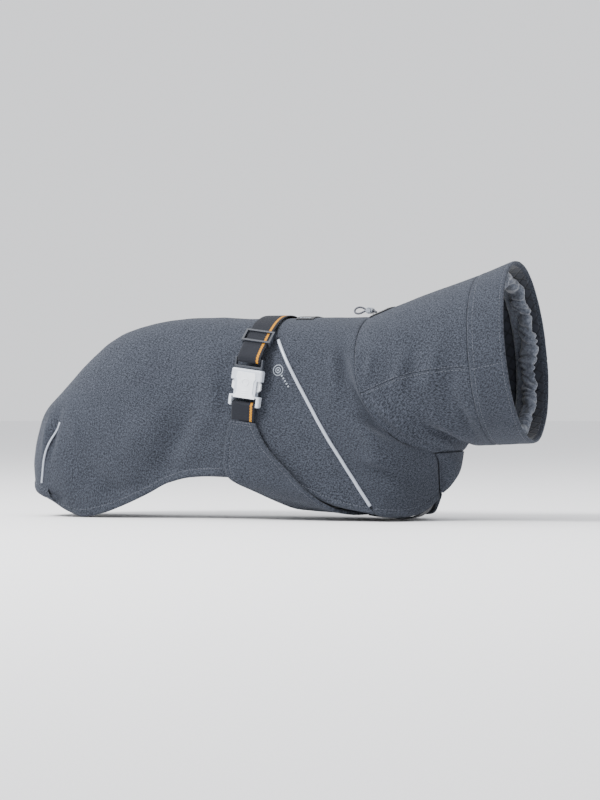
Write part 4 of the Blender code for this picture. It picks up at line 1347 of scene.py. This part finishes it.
@dataclass
class Trim:
    """Reflective piping, spine label, cord patch and the flank emblem."""
    shoulder_top: float = 0.672

    def _pipe(self, name: str, dots: list[tuple[float, float]], width: float, height: float, lift: float) -> None:
        """One length of piping along a row of places on the back."""
        offs = [FORM.outward(FORM.back, *dot) for dot in dots]
        points = [FORM.back(*dot) for dot in dots]
        points = [p + off * (lift + body_slack(p)) for p, off in zip(points, offs)]
        made = sweep(name, ways(points, offs), oval(width, height, 0.8), 14, True)
        finish_piece(made, TAPE, [name.replace("_tape", "_piping")])

    def build(self, skins: dict[str, BVHTree], neck: Collar) -> None:
        """Lay the trim.

        Args:
            skins: the woven back and yoke.
            neck: the collar, whose slack the cord patch shares.
        """
        for side in Side:
            heights = [0.03 + (self.shoulder_top - 0.03) * step / 120 for step in range(121)]
            self._pipe(f"{side.word}_shoulder_tape", [(11.0, side.value * (1 - h)) for h in heights],
                       3.5 * MM, 2.4 * MM, 0.9 * MM)
            shares = [step / 60 for step in range(61)]
            self._pipe(f"{side.word}_rump_tape",
                       [(2.75 - 2.0 * s, side.value * (1 - 0.53 + 0.13 * s)) for s in shares],
                       2.2 * MM, 1.9 * MM, 0.7 * MM)
        self._labels(neck)
        self._emblem(skins["back"])

    def _labels(self, neck: Collar) -> None:
        """The spine label and the cord patch, both satin with sewn edges."""
        rise = CLOTH + 0.35 * MM
        for name, node, surface, lift, places, half in (
                ("spine_label_cloth", "spine_label", FORM.back, rise, (11.65, 12.25), 0.11),
                ("cord_patch_cloth", "cord_patch", FORM.collar, rise + 0.4 * MM, (0.06, 0.42), 0.085)):
            def raised(place: float, across: float, surface: Surface = surface, lift: float = lift) -> Vector:
                spot = surface(place, across)
                loose = body_slack(spot) if surface == FORM.back else max(neck.slack(spot), 0) * min(place * 2, 1)
                return spot + Vector((0, 0, lift + loose))

            label = Panel(name, raised, graded(*places, 16, 5, 0.05), graded(0, 1, 26, 5, 0.06),
                          span=lambda share, half=half: (-half, half), thick=CLOTH,
                          relief=lambda spot: rolled(min(spot.side, spot.rear, spot.front), 1.2 * MM, 0.5 * MM)
                          + groove(min(spot.side, spot.rear, spot.front), 1.9 * MM, 0.6 * MM, 0.25 * MM))
            label.sew(LABEL, node)
            sewing = Stitcher(name.replace("cloth", "stitches"))
            edge = [(places[0] + 0.05, -half * 0.88), (places[0] + 0.05, half * 0.88),
                    (places[1] - 0.05, half * 0.88), (places[1] - 0.05, -half * 0.88)]
            for (p, a), (q, b) in zip(edge, edge[1:] + edge[:1]):
                sewing.row(label.skin, [raised(p + (q - p) * s / 8, a + (b - a) * s / 8) for s in range(9)])
            sewing.finish(DARK_THREAD, "label")
            if node == "spine_label":
                marks = bmesh.new()
                for place, reach in ((11.78, 1.6), (11.89, 1.1), (11.96, 1.1), (12.03, 1.1), (12.10, 1.1)):
                    for side in Side:
                        spot, normal, _, _ = label.skin.find_nearest(raised(place, side.value * 0.085))
                        turn = normal.to_track_quat("Z", "X").to_matrix().to_4x4()
                        size = Matrix.Diagonal((1.5 * MM, reach * MM, 0.25 * MM, 1))
                        bmesh.ops.create_uvsphere(marks, u_segments=16, v_segments=8, radius=1,
                                                  matrix=Matrix.Translation(spot) @ turn @ size)
                finish_piece(as_object("spine_label_mark", marks), PRINT)

    def _emblem(self, skin: BVHTree) -> None:
        """A plain printed ring and a row of short bars on the right flank."""
        bm = bmesh.new()
        middle = Vector((19.5, 149.0)) * MM
        for outer, inner, count in ((5.6, 4.8, 48), (3.0, 2.2, 36), (1.0, 0.2, 20)):
            made = bmesh.ops.create_circle(bm, cap_ends=False, segments=count, radius=outer * MM)
            grown = bmesh.ops.extrude_edge_only(bm, edges=list({e for v in made["verts"] for e in v.link_edges}))
            verts = [g for g in grown["geom"] if isinstance(g, bmesh.types.BMVert)]
            bmesh.ops.scale(bm, vec=(inner / outer,) * 3, verts=verts)
        bmesh.ops.translate(bm, verts=bm.verts, vec=(middle.x, middle.y, 0))
        start, end = Vector((24.0, 143.4)) * MM, Vector((31.0, 132.8)) * MM
        for number in range(5):
            spot = start.lerp(end, number / 4)
            turn = atan2((end - start).y, (end - start).x)
            place = (Matrix.Translation((spot.x, spot.y, 0)) @ Matrix.Rotation(turn, 4, "Z")
                     @ Matrix.Diagonal((1.5 * MM, 1.9 * MM, 1, 1)))
            bmesh.ops.create_grid(bm, x_segments=3, y_segments=3, size=0.5, matrix=place)
        for vert in bm.verts:
            spot, normal, _, _ = skin.ray_cast(Vector((vert.co.x, -0.2, vert.co.y)), Vector((0, 1, 0)))
            vert.co = spot + normal * 0.16 * MM
        bm.normal_update()
        for face in bm.faces:
            if face.normal.y > 0:
                face.normal_flip()
        made = as_object("flank_emblem", bm)
        shell = made.modifiers.new("thickness", "SOLIDIFY")
        shell.thickness = 0.2 * MM
        finish_piece(made, PRINT)


@dataclass
class StrapSet:
    """Back strap and the two belly tabs, in ribbed webbing."""
    rib: float = 1.45 * MM

    def _weave(self, name: str, node: str, route: list[tuple[float, float]], side: Side) -> None:
        """Sweep webbing along a route."""
        steps = PLANE.steps(route, side)

        def profile(run: float, share: float) -> tuple[float, float]:
            turn = share * 2 * pi
            c, s = cos(turn), sin(turn)
            ribs = 0.80 + 0.20 * abs(sin(pi * run / self.rib))
            edge = 1 - 0.012 * abs(sin(pi * run / self.rib))
            return (PLANE.width / 2 * abs(c) ** 0.75 * (1 if c > 0 else -1) * edge,
                    PLANE.thick / 2 * min(abs(s) * 2.2, 1) ** 0.6 * (1 if s > 0 else -1) * ribs)

        made = sweep(name, steps, profile, 20, True)
        finish_piece(made, WEBBING, [node])

    def build(self) -> None:
        """Weave the strap and the tabs."""
        half = PLANE.strap_half()
        self._weave("back_strap_webbing", "back_strap", half + [(-y, z) for y, z in half[-2::-1]], Side.LEFT)
        for side in Side:
            self._weave(f"{side.word}_tab_webbing", f"{side.word}_tab", PLANE.tab(), side)


def dress_node(node: str, finish: Finish, bevel: float) -> None:
    """Give a CAD node its finish and soften its edges.

    Args:
        node: the node's name.
        finish: its finish.
        bevel: radius of the edges.
    """
    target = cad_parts[node]
    for place in target.material_slots:
        place.material = finish.material
    weld = target.modifiers.new("weld", "WELD")
    weld.merge_threshold = 0.01 * MM
    edges = target.modifiers.new("edges", "BEVEL")
    edges.width = bevel
    edges.segments = 3
    edges.limit_method = "ANGLE"
    edges.angle_limit = radians(32)
    edges.harden_normals = False
    LOG.info("%s dressed as %s", node, finish.name)


@dataclass
class Hardware:
    """The two side-release buckles, their sliders, and the cord lock."""
    pad: tuple = ((-9.6, 15.6), (9.6, 15.6), (10.4, 9.5), (8.6, 6.2), (8.6, -5.6), (11.6, -9.4),
                  (11.6, -10.6), (-11.6, -10.6), (-11.6, -9.4), (-8.6, -5.6), (-8.6, 6.2), (-10.4, 9.5))
    pad_height: float = 0.7 * MM

    def _socket_pad(self, side: Side) -> None:
        """The raised panel on the socket's face, with a plain ring and grip bars."""
        face = PLANE.buckle_y + PLANE.socket_thick / 2
        bm = bmesh.new()
        outline = [bm.verts.new((x * MM, 0, z * MM)) for x, z in self.pad]
        plate = bm.faces.new(outline)
        grown = bmesh.ops.extrude_face_region(bm, geom=[plate])
        moved = [g for g in grown["geom"] if isinstance(g, bmesh.types.BMVert)]
        bmesh.ops.translate(bm, verts=moved, vec=(0, self.pad_height + 0.3 * MM, 0))
        bmesh.ops.translate(bm, verts=bm.verts, vec=(0, face - 0.3 * MM, 0))
        bmesh.ops.recalc_face_normals(bm, faces=bm.faces)
        rims = [edge for edge in bm.edges if len(edge.link_faces) == 2 and edge.calc_face_angle() > 0.4]
        bmesh.ops.bevel(bm, geom=rims, offset=0.35 * MM, affect="EDGES", segments=3, profile=0.5, material=-1)
        for low in (-7.6, -5.4, -3.2):
            bar = (Matrix.Translation((0, face + self.pad_height, low * MM))
                   @ Matrix.Diagonal((5.2 * MM, 0.35 * MM, 0.5 * MM, 1)))
            bmesh.ops.create_uvsphere(bm, u_segments=16, v_segments=8, radius=1, matrix=bar)
        ring = bmesh.ops.create_circle(bm, cap_ends=False, segments=10, radius=0.45 * MM,
                                       matrix=Matrix.Translation((3.4 * MM, 0, 0)))
        bmesh.ops.spin(bm, geom=[*ring["verts"], *{e for v in ring["verts"] for e in v.link_edges}], cent=(0, 0, 0),
                       axis=(0, 1, 0), dvec=(0, 0, 0), angle=2 * pi, steps=40, use_merge=True)
        raised_ring = [v for v in bm.verts if v.co.y < face / 2]
        bmesh.ops.translate(bm, verts=raised_ring, vec=(0, face + self.pad_height, 5.5 * MM))
        bmesh.ops.scale(bm, verts=bm.verts, vec=(1, side.value, 1))
        bmesh.ops.recalc_face_normals(bm, faces=bm.faces)
        bm.transform(PLANE.matrix)
        made = as_object(f"{side.word}_socket_pad", bm, smooth=False)
        finish_piece(made, WHITE_PLASTIC)

    def build(self) -> None:
        """Dress the hardware."""
        for side in Side:
            word = side.word
            # The sockets take the darker copy of the white moulding, whose colour is painted shade.
            dress_node(f"{word}_socket", SHADED_WHITE, 1.0 * MM)
            dress_node(f"{word}_clip", GREY_PLASTIC, 0.7 * MM)
            dress_node(f"{word}_slider", GREY_PLASTIC, 0.45 * MM)
            for end in ("front", "rear"):
                dress_node(f"{word}_arm_{end}", WHITE_PLASTIC, 0.4 * MM)
            self._socket_pad(side)
        dress_node("toggle_barrel", CLEAR_PLASTIC, 0.3 * MM)
        dress_node("toggle_button", CLEAR_PLASTIC, 0.3 * MM)


@dataclass
class Drawcord:
    """The cord that gathers the nape: one loop through the cord lock."""
    radius: float = 1.0 * MM
    route: tuple = (
        (101.5, -2.0, 207.7), (99.8, -1.8, 208.8), (98.0, -1.5, 209.3), (95.5, -1.45, 209.4),
        (92.0, -1.55, 209.4), (89.0, -2.4, 208.4), (86.0, -2.6, 207.0), (82.5, -1.9, 206.5),
        (79.6, -0.9, 207.4), (78.5, 0.1, 209.5), (79.7, 1.2, 211.8), (82.5, 1.9, 213.0),
        (86.0, 2.4, 212.6), (89.0, 2.5, 211.0), (92.0, 1.55, 209.4), (95.5, 1.45, 209.4),
        (98.0, 1.5, 209.3), (99.8, 1.8, 208.8), (101.5, 2.0, 207.7),
    )
    length: float = 52.6 * MM

    def build(self) -> None:
        """Lay the cord on its route."""
        data = bpy.data.curves.new("drawcord_loop", "CURVE")
        data.dimensions = "3D"
        data.bevel_depth = self.radius
        data.bevel_resolution = 4
        data.use_fill_caps = True
        line = data.splines.new("POLY")
        points = [spline(self.route, step / 90) * MM for step in range(91)]
        line.points.add(len(points) - 1)
        for dot, point in zip(line.points, points):
            dot.co = (*point, 1)
        line.use_smooth = True
        made = bpy.data.objects.new("drawcord_loop", data)
        bpy.context.scene.collection.objects.link(made)
        finish_piece(made, CORD_YARN, ["drawcord"])


@dataclass
class Studio:
    """Pale floor, soft lights and the camera."""
    azimuth: float = radians(20)
    distance: float = 3.0
    view_height: float = 0.816
    aim: tuple[float, float] = (0.0184, 0.1193)
    sky: float = 1.25                # strength of the even light
    lamps: tuple = (                 # name, place from the aim in metres, size in metres, watts
        ("key", (-1.5, 1.1, 1.9), 0.9, 122), ("fill", (1.9, 1.3, 0.8), 1.4, 3),
        ("top", (-0.6, -0.2, 2.2), 1.8, 26),
    )

    def build(self) -> None:
        """Set the stage."""
        bm = bmesh.new()
        bmesh.ops.create_circle(bm, cap_ends=True, segments=96, radius=14,
                                matrix=Matrix.Translation((0, 0, -1.3 * MM)))
        floor = as_object("studio_floor", bm, smooth=False)
        floor.data.materials.append(StudioPaper().material)
        right = Vector((cos(self.azimuth), sin(self.azimuth), 0))
        back = Vector((sin(self.azimuth), -cos(self.azimuth), 0))
        target = right * self.aim[0] + Vector((0, 0, self.aim[1]))
        data = bpy.data.cameras.new("camera")
        data.sensor_width = 36
        data.lens = 36 * self.distance / self.view_height
        camera = bpy.data.objects.new("camera", data)
        camera.location = target + back * self.distance
        camera.rotation_euler = (-back).to_track_quat("-Z", "Y").to_euler()
        bpy.context.scene.collection.objects.link(camera)
        bpy.context.scene.camera = camera
        for name, shift, size, power in self.lamps:
            lamp = bpy.data.lights.new(name, "AREA")
            lamp.size = size
            lamp.energy = power
            made = bpy.data.objects.new(name, lamp)
            made.location = right * shift[0] + back * shift[1] + Vector((0, 0, shift[2]))
            made.rotation_euler = (target - made.location).to_track_quat("-Z", "Y").to_euler()
            bpy.context.scene.collection.objects.link(made)
        world = bpy.data.worlds.new("studio")
        world.use_nodes = True
        sky = world.node_tree.nodes["Background"]
        sky.inputs["Color"].default_value = (0.96, 0.97, 1.0, 1)
        sky.inputs["Strength"].default_value = self.sky
        bpy.context.scene.world = world


def main() -> None:
    """Build the coat's sub-assemblies in order."""
    logging.basicConfig(level=logging.INFO, format="%(name)s: %(message)s")
    Studio().build()
    Drawcord().build()
    skins = BodyShell().build()
    ChestAndBelly().build()
    neck = Collar()
    neck.build()
    Trim().build(skins, neck)
    StrapSet().build()
    Hardware().build()


if __name__ == "__main__":
    main()
